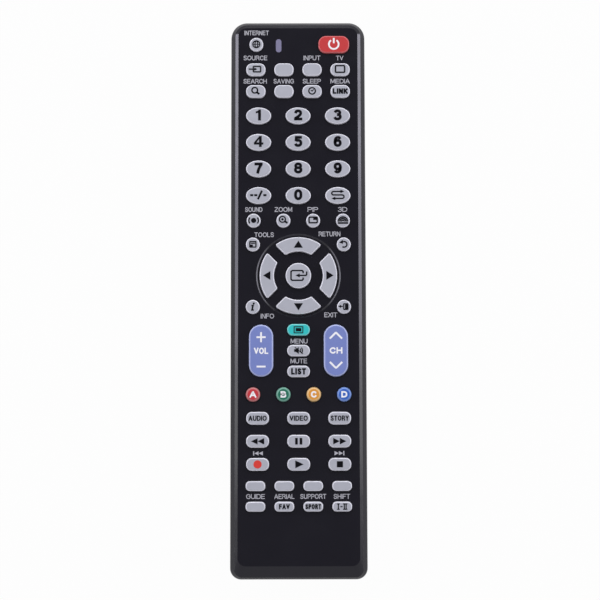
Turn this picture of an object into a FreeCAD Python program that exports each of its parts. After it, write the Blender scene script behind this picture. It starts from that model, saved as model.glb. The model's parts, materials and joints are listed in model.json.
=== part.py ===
"""A slim television remote control, lying on its back with the keys up.

X runs across the width, Y along the length towards the infrared window, Z up from the back.
The origin is under the middle of the casing, on the surface that it lies on. Sizes are in millimetres.
"""
import FreeCAD, Part
import math
import os
import re

import Sketcher
from FreeCAD import Rotation, Vector

SIZES = {
    # Casing, seen from above: the keys' field and rows set its width and length, with these margins
    "field_width": 38.5,
    "face_side_margin": 2.932,
    "face_front_margin": 3.26,
    "face_rear_margin": 19.605,
    "front_corner": 6.0,
    "rear_corner": 4.0,
    "face_corner": 3.0,
    "side_inset": 2.8,
    "front_inset": 2.95,
    "rear_inset": 4.95,
    "brow_inset": 1.6,
    "brow_rear_inset": 0.9,
    # Casing, heights above the surface that it lies on
    "belly_height": 4.5,
    "parting_height": 11.0,
    "shoulder_drop": 3.5,
    "brow_drop": 0.8,
    "belly_inset": 0.6,
    "back_inset": 5.5,
    "shoulder_round": 2.5,
    "brow_round": 0.5,
    "belly_round": 2.5,
    "back_round": 1.2,
    # Casing walls and the joint between the covers
    "wall": 1.8,
    "roof": 1.8,
    "shoulder_wall": 2.3,
    "shoulder_run": 2.3,
    "floor_inset": 0.7,
    "floor_run": 3.2,
    "tongue_height": 1.2,
    "tongue_thickness": 0.7,
    "tongue_gap": 0.15,
    # Navigation dish in the face
    "dish_radius": 15.6,
    "dish_depth": 0.4,
    "dish_bevel": 0.6,
    "dish_gap": 2.25,
    # Key plan sizes
    "digit_length": 9.25,
    "digit_width": 6.25,
    "pill_length": 7.15,
    "pill_width": 4.75,
    "pill_flat": 0.4,
    "dot_diameter": 5.1,
    "power_length": 11.4,
    "power_width": 6.4,
    "power_flat": 0.85,
    "arc_margin": 1.4,
    "arc_width": 5.2,
    "arc_gap": 4.2,
    "arc_corner": 0.6,
    "select_diameter": 9.3,
    "rocker_length": 8.85,
    "rocker_width": 19.05,
    "rocker_flat": 0.15,
    "bar_length": 8.25,
    "bar_width": 4.2,
    "bar_flat": 0.2,
    "colour_diameter": 5.25,
    "tape_length": 8.25,
    "tape_width": 4.6,
    "tape_flat": 0.45,
    "slim_length": 7.1,
    "slim_width": 3.55,
    "slim_flat": 0.4,
    # Key places on the face: gaps between rows, and insets from the field's edge
    "power_inset": 0.2,
    "internet_inset": 1.2,
    "input_gap": 3.975,
    "search_gap": 3.5,
    "digit_margin": 3.7,
    "digit_gap": 3.73,
    "picture_gap": 3.685,
    "picture_inset": 0.255,
    "corner_gap": 2.16,
    "corner_angle": 34.6,
    "rocker_gap": 2.475,
    "rocker_inset": 1.15,
    "bar_gap": 3.42,
    "colour_gap": 3.85,
    "audio_gap": 3.725,
    "tape_gap": 3.74,
    "tape_inset": 0.195,
    "guide_gap": 3.75,
    "slim_gap": 3.85,
    # Key heights and clearances
    "key_rise": 1.2,
    "key_round": 0.5,
    "colour_round": 0.9,
    "rocker_round": 0.7,
    "key_gap": 0.2,
    "lip_width": 0.5,
    "lip_thickness": 0.6,
    "lip_gap": 0.1,
    "core_height": 0.6,
    "contact_radius": 1.5,
    "contact_height": 0.4,
    "press_room": 1.0,
    "rocker_drop": 0.8,
    "rocker_contact_inset": 3.15,
    # Rubber mat under the keys
    "mat_thickness": 1.8,
    "mat_edge_gap": 1.8,
    "mat_rear_gap": 2.0,
    "mat_corner": 2.0,
    "mat_gap": 0.15,
    "hold_rib_thickness": 0.6,
    "hold_rib_margin": 0.5,
    "hold_rib_end": 12.0,
    # Circuit board and its rests
    "board_thickness": 1.6,
    "board_gap": 0.1,
    "board_side_gap": 0.8,
    "board_front_gap": 1.2,
    "board_post_gap": 3.75,
    "rest_inset": 1.0,
    "rest_thickness": 1.0,
    "rest_length": 20.0,
    "rest_spacing": 50.0,
    "rest_foot": 3.6,
    # Screws and their bosses
    "screw_radius": 1.3,
    "screw_length": 10.0,
    "screw_side_inset": 11.0,
    "screw_rear_inset": 10.0,
    "head_radius": 2.4,
    "head_height": 1.8,
    "head_depth": 1.2,
    "head_gap": 0.2,
    "slot_width": 0.6,
    "slot_length": 2.8,
    "slot_depth": 0.9,
    "thread_bite": 0.2,
    "pilot_room": 0.6,
    "boss_wall": 1.65,
    "post_wall": 0.65,
    "boss_mat_wall": 0.25,
    "boss_foot": 9.0,
    "shank_gap": 0.15,
    "boss_gap": 0.5,
    # Infrared window and emitter at the front end
    "lens_width": 14.0,
    "lens_rise": 0.9,
    "lens_gap": 0.1,
    "emitter_radius": 1.5,
    "emitter_gap": 0.2,
    "emitter_length": 4.4,
    "collar_radius": 1.9,
    "collar_length": 0.8,
    "lead_width": 0.5,
    "lead_pitch": 2.54,
    # Indicator light pipe beside the power key
    "pipe_space": 4.725,
    "pipe_drop": 0.25,
    "pipe_width": 2.05,
    "pipe_length": 4.95,
    "pipe_flat": 0.15,
    "pipe_gap": 0.05,
    "pipe_flange": 0.5,
    "pipe_flange_height": 0.6,
    "pipe_mat_gap": 1.0,
    "lamp_length": 3.2,
    "lamp_width": 1.6,
    "lamp_height": 0.9,
    "lamp_gap": 0.3,
    # Battery bay
    "cell_radius": 5.25,
    "cell_length": 44.5,
    "cell_space": 0.5,
    "cell_gap": 0.2,
    "cell_nub_radius": 1.9,
    "cell_nub_height": 1.0,
    "bay_wall": 1.5,
    "bay_side_gap": 0.25,
    "bay_headroom": 0.1,
    "bay_roof": 0.8,
    "pad_skin": 1.5,
    "pad_margin": 1.4,
    "pad_post_gap": 5.15,
    # Battery contacts
    "strip_thickness": 0.3,
    "strip_width": 8.0,
    "strip_lift": 1.1,
    "strip_gap": 0.2,
    "dimple_radius": 1.6,
    "dimple_height": 0.5,
    "wire_radius": 0.35,
    "coil_radius": 3.4,
    "spring_room": 5.4,
    "coil_gap": 0.1,
    "coil_turns": 4.0,
    # Battery door
    "door_thickness": 1.6,
    "door_side_lap": 6.0,
    "door_front_lap": 4.5,
    "door_rear_lap": 3.5,
    "door_side_margin": 2.3,
    "door_gap": 0.2,
    "door_seat_gap": 0.1,
    "tab_across": 10.0,
    "tab_width": 6.0,
    "tab_reach": 2.0,
    "tab_thickness": 0.7,
    "tab_skin": 0.8,
    "tab_gap": 0.1,
    "tab_side_gap": 0.2,
    "tab_swing": 1.9,
    "latch_width": 8.0,
    "latch_inset": 1.4,
    "latch_thickness": 1.0,
    "latch_height": 5.0,
    "latch_nose": 0.4,
    "latch_gap": 0.4,
    "grip_count": 5.0,
    "grip_length": 14.0,
    "grip_width": 0.9,
    "grip_depth": 0.4,
    "grip_pitch": 1.9,
    "grip_back": 5.5,
    # Parts under the circuit board
    "chip_length": 18.0,
    "chip_width": 7.5,
    "chip_height": 2.3,
    "chip_standoff": 0.1,
    "chip_across": -4.0,
    "chip_along": 30.0,
    "leg_count": 12.0,
    "leg_pitch": 1.27,
    "leg_width": 0.4,
    "leg_reach": 1.3,
    "leg_height": 1.1,
    "resonator_length": 7.5,
    "resonator_width": 3.4,
    "resonator_height": 5.0,
    "resonator_across": 10.0,
    "resonator_along": 44.0,
    "capacitor_radius": 2.5,
    "capacitor_height": 6.0,
    "capacitor_across": 12.0,
    "capacitor_along": 8.0,
    "groove_height": 1.2,
    "groove_radius": 0.4,
    "groove_depth": 0.2,
    "transistor_radius": 2.3,
    "transistor_height": 4.6,
    "transistor_flat": 1.3,
    "transistor_across": 11.0,
    "transistor_along": 66.0,
    "resistor_length": 3.2,
    "resistor_width": 1.6,
    "resistor_height": 0.6,
    "resistor_across": -12.0,
    "resistor_along": 50.0,
    "resistor_pitch": 5.0,
    "resistor_count": 6.0,
}

doc = FreeCAD.newDocument("remote_control")
sheet = doc.addObject("Spreadsheet::Sheet", "sizes")
for row, (alias, size) in enumerate(SIZES.items(), start=1):
    sheet.set(f"A{row}", alias)
    sheet.set(f"B{row}", str(size))
    sheet.setAlias(f"B{row}", alias)
doc.recompute()

# How far a cutter reaches past what it cuts
PAST = "1"

# The rows of the face from the front end down: each row's name, the gap before it and its depth
ROWS = (("top_row", "face_front_margin + front_inset", "power_width"),
        ("input_row", "input_gap", "pill_width"), ("search_row", "search_gap", "pill_width"),
        ("one_row", "digit_margin", "digit_width"), ("four_row", "digit_gap", "digit_width"),
        ("seven_row", "digit_gap", "digit_width"), ("zero_row", "digit_gap", "digit_width"),
        ("picture_row", "picture_gap", "dot_diameter"), ("dish_centre", "dish_gap", "2 * dish_radius"),
        ("rocker_row", "rocker_gap", "rocker_width"), ("colour_row", "colour_gap", "colour_diameter"),
        ("audio_row", "audio_gap", "tape_width"), ("tape_row", "tape_gap", "tape_width"),
        ("record_row", "tape_gap", "tape_width"), ("guide_row", "guide_gap", "slim_width"),
        ("favourite_row", "slim_gap", "slim_width"))
ROW_DEPTHS = " + ".join(f"{gap} + {depth}" for _, gap, depth in ROWS)

# Shared values worked out from the sizes
DERIVED = {
    # Heights, from the battery door up to the keys
    "cell_foot": "door_thickness + door_seat_gap + cell_gap",
    "cell_axis": "cell_foot + cell_radius",
    "bay_ceiling": "cell_axis + cell_radius + bay_headroom",
    "board_foot": "bay_ceiling + bay_roof + board_gap",
    "board_top": "board_foot + board_thickness",
    "mat_top": "board_top + mat_thickness",
    "lip_foot": "board_top + press_room + contact_height + core_height",
    "roof_under": "lip_foot + lip_thickness + lip_gap",
    "face_height": "roof_under + roof",
    "shoulder_height": "face_height - shoulder_drop",
    "key_top": "face_height + key_rise",
    "chamber_grow": "lip_width + mat_gap",
    # Keys across the face
    "power_across": "field_width / 2 - power_inset - power_length / 2",
    "internet_across": "internet_inset + dot_diameter / 2 - field_width / 2",
    "pipe_across": "internet_across + dot_diameter / 2 + pipe_space + pipe_width / 2",
    "pipe_row": "top_row - pipe_drop",
    "rocker_across": "field_width / 2 - rocker_inset - rocker_length / 2",
    "corner_reach": "dish_radius + corner_gap + dot_diameter / 2",
    "corner_across": "corner_reach * cos(corner_angle)",
    "corner_along": "corner_reach * sin(corner_angle)",
    "arc_outer": "dish_radius - arc_margin",
    "arc_inner": "arc_outer - arc_width",
    # Battery bay and door across the back
    "cell_pitch": "2 * cell_radius + cell_space",
    "bay_width": "cell_pitch + 2 * cell_radius + 2 * bay_side_gap",
    "door_width": "bay_width + 2 * door_side_lap",
    # The casing's reach: as wide as its rows, its corner keys or its door need
    "key_reach": "max(field_width / 2; corner_across + dot_diameter / 2)",
    "half_width": ("max(side_inset + face_side_margin + key_reach; "
                   "back_inset + door_side_margin + door_width / 2)"),
    "half_length": f"({ROW_DEPTHS} + face_rear_margin + rear_inset) / 2",
    # Screws, and what stands clear of them along the casing
    "post_radius": "head_radius + head_gap + post_wall",
    "pilot_radius": "screw_radius - thread_bite",
    "boss_radius": "pilot_radius + boss_wall",
    "head_top": "head_depth + head_height",
    "screw_across": "half_width - screw_side_inset",
    "screw_rear": "screw_rear_inset - half_length",
    "screw_front": "input_row + pill_width / 2 + chamber_grow + boss_mat_wall + boss_gap + boss_radius",
    "board_side": "half_width - wall - board_side_gap",
    "board_front": "half_length - wall - board_front_gap",
    "board_rear": "screw_rear + post_radius + board_post_gap",
    "mat_side": "half_width - wall - mat_edge_gap",
    "mat_front": "half_length - wall - mat_edge_gap",
    "mat_rear": "board_rear + mat_rear_gap",
    "pad_rear": "screw_rear + post_radius + pad_post_gap",
    "door_rear": "pad_rear + pad_margin + tab_reach + door_gap",
    "door_pivot": "door_rear + door_thickness / 2",
    "bay_rear": "door_rear + door_rear_lap",
    "bay_front": "bay_rear + cell_length + dimple_height + 2 * strip_thickness + spring_room",
    "door_front": "bay_front + door_front_lap",
    "pad_front": "door_front + door_gap + pad_margin",
    "pad_height": "door_thickness + door_seat_gap + pad_skin",
    "latch_front": "door_front - latch_inset",
    "latch_rear": "latch_front - latch_thickness",
    "strip_foot": "cell_foot + strip_lift",
    # Infrared window and emitter
    "lens_foot": "belly_height + lens_rise",
    "emitter_height": "(lens_foot + parting_height) / 2",
    "emitter_tip": "half_length - wall - emitter_gap",
    "emitter_back": "emitter_tip - emitter_length",
}
edge = "half_length"
for name, gap, depth in ROWS:
    DERIVED[name] = f"{edge} - ({gap}) - {depth} / 2"
    edge = f"{name} - {depth} / 2"

shared = doc.addObject("App::VarSet", "shared")


def linked(text):
    """The expression with each size and each shared value pointed at its place in the document."""
    def point(word):
        holder = "sizes." if word[0] in SIZES else "shared." if word[0] in DERIVED else ""
        return holder + word[0]
    return re.sub(r"[a-z_]+", point, text)


def number(text):
    """The present value of an expression, for a sketch's first shape."""
    return float(sheet.evalExpression(linked(text)))


def bind(item, name, text):
    """Tie a property to an expression of the sizes."""
    item.setExpression(name, linked(text))


def seat(item, x="0", y="0", z="0"):
    """Tie an object's place to three expressions."""
    for axis, text in zip("xyz", (x, y, z)):
        bind(item, f"Placement.Base.{axis}", text)
    return item


for name, text in DERIVED.items():
    shared.addProperty("App::PropertyFloat", name)
    bind(shared, name, text)
doc.recompute()

FRONT_STRIP = ("bay_front - strip_thickness", "bay_front")
REAR_STRIP = ("bay_rear", "bay_rear + strip_thickness")
SCREWS = (("-screw_across", "screw_rear"), ("screw_across", "screw_rear"), ("0", "screw_front"))


def block(name, x, y, z):
    """A box between three pairs of bounds."""
    item = doc.addObject("Part::Box", name)
    for side, (low, high) in zip(("Length", "Width", "Height"), (x, y, z)):
        bind(item, side, f"({high}) - ({low})")
    return seat(item, x[0], y[0], z[0])


def centred(middle, width):
    """The bounds of a span about its middle."""
    return f"{middle} - ({width}) / 2", f"{middle} + ({width}) / 2"


def rod(name, radius, x, y, z, height):
    """An upright cylinder standing on a point."""
    item = doc.addObject("Part::Cylinder", name)
    bind(item, "Radius", radius)
    bind(item, "Height", height)
    return seat(item, x, y, z)


def lying_rod(name, radius, x, y, z, length):
    """A cylinder along +Y from a point."""
    item = rod(name, radius, x, y, z, length)
    item.Placement.Rotation = Rotation(Vector(1, 0, 0), -90)
    return item


def gather(name, items):
    """Loose solids kept together as one object."""
    group = doc.addObject("Part::Compound", name)
    group.Links = items
    return group


def fuse(name, items):
    """One solid from several that touch."""
    union = doc.addObject("Part::MultiFuse", name)
    union.Shapes = items
    return union


def cut(name, base, tools):
    """A solid less the tools."""
    result = doc.addObject("Part::Cut", name)
    result.Base = base
    result.Tool = tools[0] if len(tools) == 1 else gather(f"{name}_tools", tools)
    return result


def sketch_in(body, name, height, role="XY_Plane"):
    """A sketch on a plane of the body, raised to a height."""
    sketch = body.newObject("Sketcher::SketchObject", name)
    plane = next(item for item in body.Origin.OriginFeatures if item.Role == role)
    sketch.AttachmentSupport = (plane, [""])
    sketch.MapMode = "FlatFace"
    bind(sketch, "AttachmentOffset.Base.z", height)
    return sketch


def measure(sketch, kind, places, name, text):
    """A named dimension of a sketch, tied to an expression."""
    index = sketch.addConstraint(Sketcher.Constraint(kind, *places, number(text)))
    sketch.renameConstraint(index, name)
    bind(sketch, f"Constraints.{name}", text)


def draw_rounded(sketch, half_width, front, rear, front_corner, rear_corner):
    """A rounded rectangle about the origin, with its own reach and corners towards each end."""
    across, top, bottom = number(half_width), number(front), -number(rear)
    big, small = number(front_corner), number(rear_corner)
    up = Vector(0, 0, 1)
    corners = [(across - small, bottom + small, small, 3), (across - big, top - big, big, 0),
               (big - across, top - big, big, 1), (small - across, bottom + small, small, 2)]
    starts = [(small - across, bottom), (across, bottom + small), (across - big, top), (-across, top - big)]
    ends = [(across - small, bottom), (across, top - big), (big - across, top), (-across, bottom + small)]
    for start, end in zip(starts, ends):
        sketch.addGeometry(Part.LineSegment(Vector(*start, 0), Vector(*end, 0)), False)
    for x, y, radius, turn in corners:
        circle = Part.Circle(Vector(x, y, 0), up, radius)
        sketch.addGeometry(Part.ArcOfCircle(circle, turn * math.pi / 2, (turn + 1) * math.pi / 2), False)
    for line in range(4):
        sketch.addConstraint(Sketcher.Constraint("Tangent", line, 2, line + 4, 1))
        sketch.addConstraint(Sketcher.Constraint("Tangent", line + 4, 2, (line + 1) % 4, 1))
        sketch.addConstraint(Sketcher.Constraint("Vertical" if line % 2 else "Horizontal", line))
    sketch.addConstraint(Sketcher.Constraint("Equal", 4, 7))
    sketch.addConstraint(Sketcher.Constraint("Equal", 5, 6))
    measure(sketch, "DistanceX", (-1, 1, 1, 1), "right", half_width)
    measure(sketch, "DistanceX", (3, 1, -1, 1), "left", half_width)
    measure(sketch, "DistanceY", (-1, 1, 2, 1), "front", front)
    measure(sketch, "DistanceY", (0, 1, -1, 1), "rear", rear)
    measure(sketch, "Radius", (4,), "rear_corner", rear_corner)
    measure(sketch, "Radius", (5,), "front_corner", front_corner)


def draw_pill(sketch, grow, length, width, flat):
    """A rounded bar about the origin, with a short flat left at its ends."""
    half_across, half_along = f"{length} / 2 + {grow}", f"{width} / 2 + {grow}"
    radius = f"(min({length}; {width}) - {flat}) / 2 + {grow}"
    draw_rounded(sketch, half_across, half_along, half_along, radius, radius)


def draw_dot(sketch, grow, diameter):
    """A circle about the origin."""
    radius = f"{diameter} / 2 + {grow}"
    sketch.addGeometry(Part.Circle(Vector(0, 0, 0), Vector(0, 0, 1), number(radius)), False)
    sketch.addConstraint(Sketcher.Constraint("Coincident", 0, 3, -1, 1))
    measure(sketch, "Radius", (0,), "radius", radius)


def draw_ellipse(sketch, grow, length, width):
    """An ellipse about the origin, long across."""
    long_axis, short_axis = f"{length} + 2 * ({grow})", f"{width} + 2 * ({grow})"
    tips = Vector(number(long_axis) / 2, 0, 0), Vector(0, number(short_axis) / 2, 0)
    sketch.addGeometry(Part.Ellipse(*tips, Vector(0, 0, 0)), False)
    sketch.exposeInternalGeometry(0)
    sketch.addConstraint(Sketcher.Constraint("Coincident", 0, 3, -1, 1))
    sketch.addConstraint(Sketcher.Constraint("Horizontal", 1))
    measure(sketch, "Distance", (1,), "long_axis", long_axis)
    measure(sketch, "Distance", (2,), "short_axis", short_axis)


def draw_arc(sketch, grow, outer, inner, gap):
    """A quarter ring about the origin towards +Y, with ends parallel to the diagonals."""
    big, small = f"{outer} + {grow}", f"{inner} - ({grow})"
    offset = f"{gap} / 2 - ({grow})"
    diagonal = Vector(1, 1, 0).normalize()
    inward = Vector(-1, 1, 0).normalize()
    points = []
    for radius in (number(big), number(small)):
        along = (radius ** 2 - number(offset) ** 2) ** 0.5
        points.append(diagonal * along + inward * number(offset))
    mirrored = [Vector(-point.x, point.y, 0) for point in points]
    for radius, right, left in zip((number(big), number(small)), points, mirrored):
        sketch.addGeometry(Part.Arc(right, Vector(0, radius, 0), left), False)
    sketch.addGeometry(Part.LineSegment(points[1], points[0]), False)
    sketch.addGeometry(Part.LineSegment(mirrored[0], mirrored[1]), False)
    for first, second in (((2, 1), (1, 1)), ((2, 2), (0, 1)), ((3, 1), (0, 2)), ((3, 2), (1, 2))):
        sketch.addConstraint(Sketcher.Constraint("Coincident", *first, *second))
    sketch.addConstraint(Sketcher.Constraint("Coincident", 0, 3, -1, 1))
    sketch.addConstraint(Sketcher.Constraint("Coincident", 1, 3, -1, 1))
    measure(sketch, "Radius", (0,), "outer", big)
    measure(sketch, "Radius", (1,), "inner", small)
    measure(sketch, "Distance", (-1, 1, 2), "right_gap", offset)
    measure(sketch, "Distance", (-1, 1, 3), "left_gap", offset)
    measure(sketch, "Angle", (-1, 2), "lean", "45 deg")
    sketch.addConstraint(Sketcher.Constraint("Perpendicular", 2, 3))


# Each kind of key: how its outline is drawn, from which sizes, and where its contacts sit
KINDS = {
    "digit": (draw_ellipse, ("digit_length", "digit_width")),
    "pill": (draw_pill, ("pill_length", "pill_width", "pill_flat")),
    "dot": (draw_dot, ("dot_diameter",)),
    "power": (draw_pill, ("power_length", "power_width", "power_flat")),
    "arc": (draw_arc, ("arc_outer", "arc_inner", "arc_gap")),
    "select": (draw_dot, ("select_diameter",)),
    "rocker": (draw_pill, ("rocker_length", "rocker_width", "rocker_flat")),
    "bar": (draw_pill, ("bar_length", "bar_width", "bar_flat")),
    "colour": (draw_dot, ("colour_diameter",)),
    "tape": (draw_pill, ("tape_length", "tape_width", "tape_flat")),
    "slim": (draw_pill, ("slim_length", "slim_width", "slim_flat")),
}
ROCKER_CONTACT = "(rocker_width / 2 - rocker_contact_inset)"
CONTACTS = {"arc": ("(arc_outer + arc_inner) / 2",), "rocker": (ROCKER_CONTACT, f"-{ROCKER_CONTACT}")}
DROPS = {"rocker": "rocker_drop"}
ROUNDS = {"colour": "colour_round", "rocker": "rocker_round"}
CORES = {"rocker": "0"}


def edges_at(feature, height):
    """The names of a feature's edges that lie level at a height."""
    names = []
    for index, edge in enumerate(feature.Shape.Edges, start=1):
        box = edge.BoundBox
        if abs(box.ZMin - height) < 1e-4 and abs(box.ZMax - height) < 1e-4:
            names.append(f"Edge{index}")
    return names


def upright_edges(feature):
    """The names of a feature's straight upright edges."""
    names = []
    for index, edge in enumerate(feature.Shape.Edges, start=1):
        box = edge.BoundBox
        if box.XLength < 1e-4 and box.YLength < 1e-4 and box.ZLength > 1e-4:
            names.append(f"Edge{index}")
    return names


def round_edges(body, name, feature, edges, radius):
    """A fillet on named edges of a feature."""
    fillet = body.newObject("PartDesign::Fillet", name)
    fillet.Base = (feature, edges)
    bind(fillet, "Radius", radius)
    return fillet


def raise_outline(body, kind, grow, foot, top, name):
    """A pad of a key's outline, grown all round, between two heights."""
    draw, sizes = KINDS[kind]
    sketch = sketch_in(body, f"{name}_outline", foot)
    draw(sketch, grow, *sizes)
    pad = body.newObject("PartDesign::Pad", name)
    pad.Profile = sketch
    bind(pad, "Length", f"({top}) - ({foot})")
    return pad


def outline_body(kind, name, grow, foot, top):
    """A plain solid of a key's outline, grown all round."""
    body = doc.addObject("PartDesign::Body", name)
    pad = raise_outline(body, kind, grow, foot, top, f"{name}_pad")
    if kind == "arc":
        doc.recompute()
        round_edges(body, f"{name}_corners", pad, upright_edges(pad), f"arc_corner + {grow}")
    return body


def key_body(kind):
    """A key: a cap with a rounded rim, and the lip below the face that keeps it in."""
    drop = DROPS.get(kind, "0")
    foot = f"lip_foot - {drop}"
    body = doc.addObject("PartDesign::Body", f"{kind}_key")
    core = CORES.get(kind, "core_height")
    top = raise_outline(body, kind, "0", f"{foot} - {core}", "key_top", f"{kind}_cap")
    doc.recompute()
    if kind == "arc":
        top = round_edges(body, "arc_cap_corners", top, upright_edges(top), "arc_corner")
        doc.recompute()
    round_edges(body, f"{kind}_rim", top, edges_at(top, number("key_top")), ROUNDS.get(kind, "key_round"))
    doc.recompute()
    if kind == "arc":
        lip = outline_body("arc", "arc_lip", "lip_width", foot, f"{foot} + lip_thickness")
        return fuse("arc_key_whole", [body, lip])
    raise_outline(body, kind, "lip_width", foot, f"{foot} + lip_thickness", f"{kind}_lip")
    return body


def key_set(kind):
    """A key with the carbon contacts on its underside."""
    core = CORES.get(kind, "core_height")
    foot = f"lip_foot - {DROPS.get(kind, '0')} - {core} - contact_height"
    pieces = [key_body(kind)]
    for index, along in enumerate(CONTACTS.get(kind, ("0",))):
        pieces.append(rod(f"{kind}_contact_{index}", "contact_radius", "0", along, foot, "contact_height"))
    return gather(f"{kind}_set", pieces)


MASTERS = {}
for kind in KINDS:
    MASTERS[kind] = {
        "key": key_set(kind),
        "hole": outline_body(kind, f"{kind}_hole", "key_gap", f"roof_under - {PAST}", f"key_top + {PAST}"),
        "chamber": outline_body(kind, f"{kind}_chamber", "chamber_grow", "board_foot", f"mat_top + {PAST}"),
    }

PLACED = {"hole": [], "chamber": []}


def place_key(name, kind, across, along, turn=0):
    """A key at its place on the face, with its hole in the cover and its chamber in the mat."""
    placed = {}
    for role, master in MASTERS[kind].items():
        copy = gather(f"{name}_{role}", [master])
        copy.Placement.Rotation = Rotation(Vector(0, 0, 1), turn)
        placed[role] = seat(copy, across, along)
    for role in PLACED:
        PLACED[role].append(placed[role])
    return placed["key"]


def spread(index, count, pitch):
    """The place of one of a row, centred on the middle."""
    return f"{index - (count - 1) / 2} * {pitch}"


def across_field(index, count, length, inset="0"):
    """The place of one of a row of keys that fills the field, less an inset at each side."""
    return spread(index, count, f"(field_width - 2 * {inset} - {length}) / {count - 1}")


nodes = {}
nodes["power_key"] = place_key("power", "power", "power_across", "top_row")
nodes["internet_key"] = place_key("internet", "dot", "internet_across", "top_row")

DIGITS = {"one_row": ("one", "two", "three"), "four_row": ("four", "five", "six"),
          "seven_row": ("seven", "eight", "nine"), "zero_row": ("dash", "zero", "swap")}
for along, names in DIGITS.items():
    for column, name in enumerate(names):
        nodes[f"{name}_key"] = place_key(name, "digit", across_field(column, 3, "digit_length"), along)

for name, turn in (("up", 0), ("left", 90), ("down", 180), ("right", 270)):
    nodes[f"{name}_key"] = place_key(name, "arc", "0", "dish_centre", turn)
nodes["select_key"] = place_key("select", "select", "0", "dish_centre")

nodes["volume_key"] = place_key("volume", "rocker", "-rocker_across", "rocker_row")
nodes["channel_key"] = place_key("channel", "rocker", "rocker_across", "rocker_row")
for index, name in enumerate(("menu", "mute", "list")):
    nodes[f"{name}_key"] = place_key(name, "bar", "0", f"rocker_row + {1 - index} * (bar_width + bar_gap)")
for index, name in enumerate(("red", "green", "yellow", "blue")):
    nodes[f"{name}_key"] = place_key(name, "colour", across_field(index, 4, "colour_diameter"), "colour_row")

TAPE_KEYS = {"tape_row": ("rewind", "pause", "forward"), "record_row": ("record", "play", "stop")}
for along, names in TAPE_KEYS.items():
    for column, name in enumerate(names):
        across = across_field(column, 3, "tape_length", "tape_inset")
        nodes[f"{name}_key"] = place_key(name, "tape", across, along)

# Rows whose keys share one object: how many, their kind, their length, their inset and their row
SHARED_ROWS = {
    "input_keys": (4, "pill", "pill_length", "0", "input_row"),
    "search_keys": (4, "pill", "pill_length", "0", "search_row"),
    "picture_keys": (4, "dot", "dot_diameter", "picture_inset", "picture_row"),
    "audio_keys": (3, "tape", "tape_length", "tape_inset", "audio_row"),
    "guide_keys": (4, "slim", "slim_length", "0", "guide_row"),
    "favourite_keys": (4, "slim", "slim_length", "0", "favourite_row"),
}
for name, (count, kind, length, inset, along) in SHARED_ROWS.items():
    row_keys = []
    for index in range(count):
        row_keys.append(place_key(f"{name}_{index}", kind, across_field(index, count, length, inset), along))
    nodes[name] = gather(name, row_keys)

corner_keys = []
for side in (-1, 1):
    for end in (1, -1):
        across, along = f"{side} * corner_across", f"dish_centre + {end} * corner_along"
        corner_keys.append(place_key(f"corner_{side + 1}_{end + 1}", "dot", across, along))
nodes["corner_keys"] = gather("corner_keys", corner_keys)


def casing_section(body, name, height, side, front, rear, front_corner="front_corner",
                   rear_corner="rear_corner"):
    """A level section of the casing, inset from its largest outline by the given amounts."""
    sketch = sketch_in(body, name, height)
    draw_rounded(sketch, f"half_width - ({side})", f"half_length - ({front})",
                 f"half_length - ({rear})", front_corner, rear_corner)
    return sketch


def ruled_loft(body, name, sections, kind="PartDesign::AdditiveLoft"):
    """A loft with straight sides through sections, highest first."""
    loft = body.newObject(kind, name)
    loft.Profile = sections[0]
    loft.Sections = sections[1:]
    loft.Ruled = True
    return loft


def top_shell():
    """The outer form of the top cover and the hollow inside it."""
    body = doc.addObject("PartDesign::Body", "top_shell")
    outer = ruled_loft(body, "top_form", [
        casing_section(body, "top_face", "face_height", "side_inset", "front_inset", "rear_inset",
                       "face_corner", "face_corner"),
        casing_section(body, "top_brow", "face_height - brow_drop", *["brow_inset"] * 2, "brow_rear_inset",
                       "front_corner - brow_inset", "rear_corner - brow_rear_inset"),
        casing_section(body, "top_shoulder", "shoulder_height", "0", "0", "0"),
        casing_section(body, "top_foot", "parting_height", "0", "0", "0")])
    doc.recompute()
    shoulder = edges_at(outer, number("shoulder_height"))
    lower = round_edges(body, "top_shoulder_round", outer, shoulder, "shoulder_round")
    doc.recompute()
    round_edges(body, "top_brow_round", lower, edges_at(lower, number("face_height - brow_drop")),
                "brow_round")
    share = "(1 - roof / shoulder_drop)"
    under = [f"{inset} * {share} + shoulder_wall" for inset in ("side_inset", "front_inset", "rear_inset")]
    inner_corners = ("front_corner - wall", "rear_corner - wall")
    ruled_loft(body, "top_hollow", [
        casing_section(body, "hollow_roof", "roof_under", *under, *inner_corners),
        casing_section(body, "hollow_shoulder", "roof_under - shoulder_run", "wall", "wall", "wall",
                       *inner_corners),
        casing_section(body, "hollow_foot", "parting_height", "wall", "wall", "wall", *inner_corners)],
        "PartDesign::SubtractiveLoft")
    rebate = body.newObject("PartDesign::Pocket", "tongue_rebate")
    depth = "tongue_height + tongue_gap"
    inset = "wall - tongue_thickness - tongue_gap"
    rebate.Profile = casing_section(body, "rebate_outline", f"parting_height + {depth}", inset, inset, inset,
                                    f"front_corner - ({inset})", f"rear_corner - ({inset})")
    bind(rebate, "Length", depth)
    return body


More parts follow.
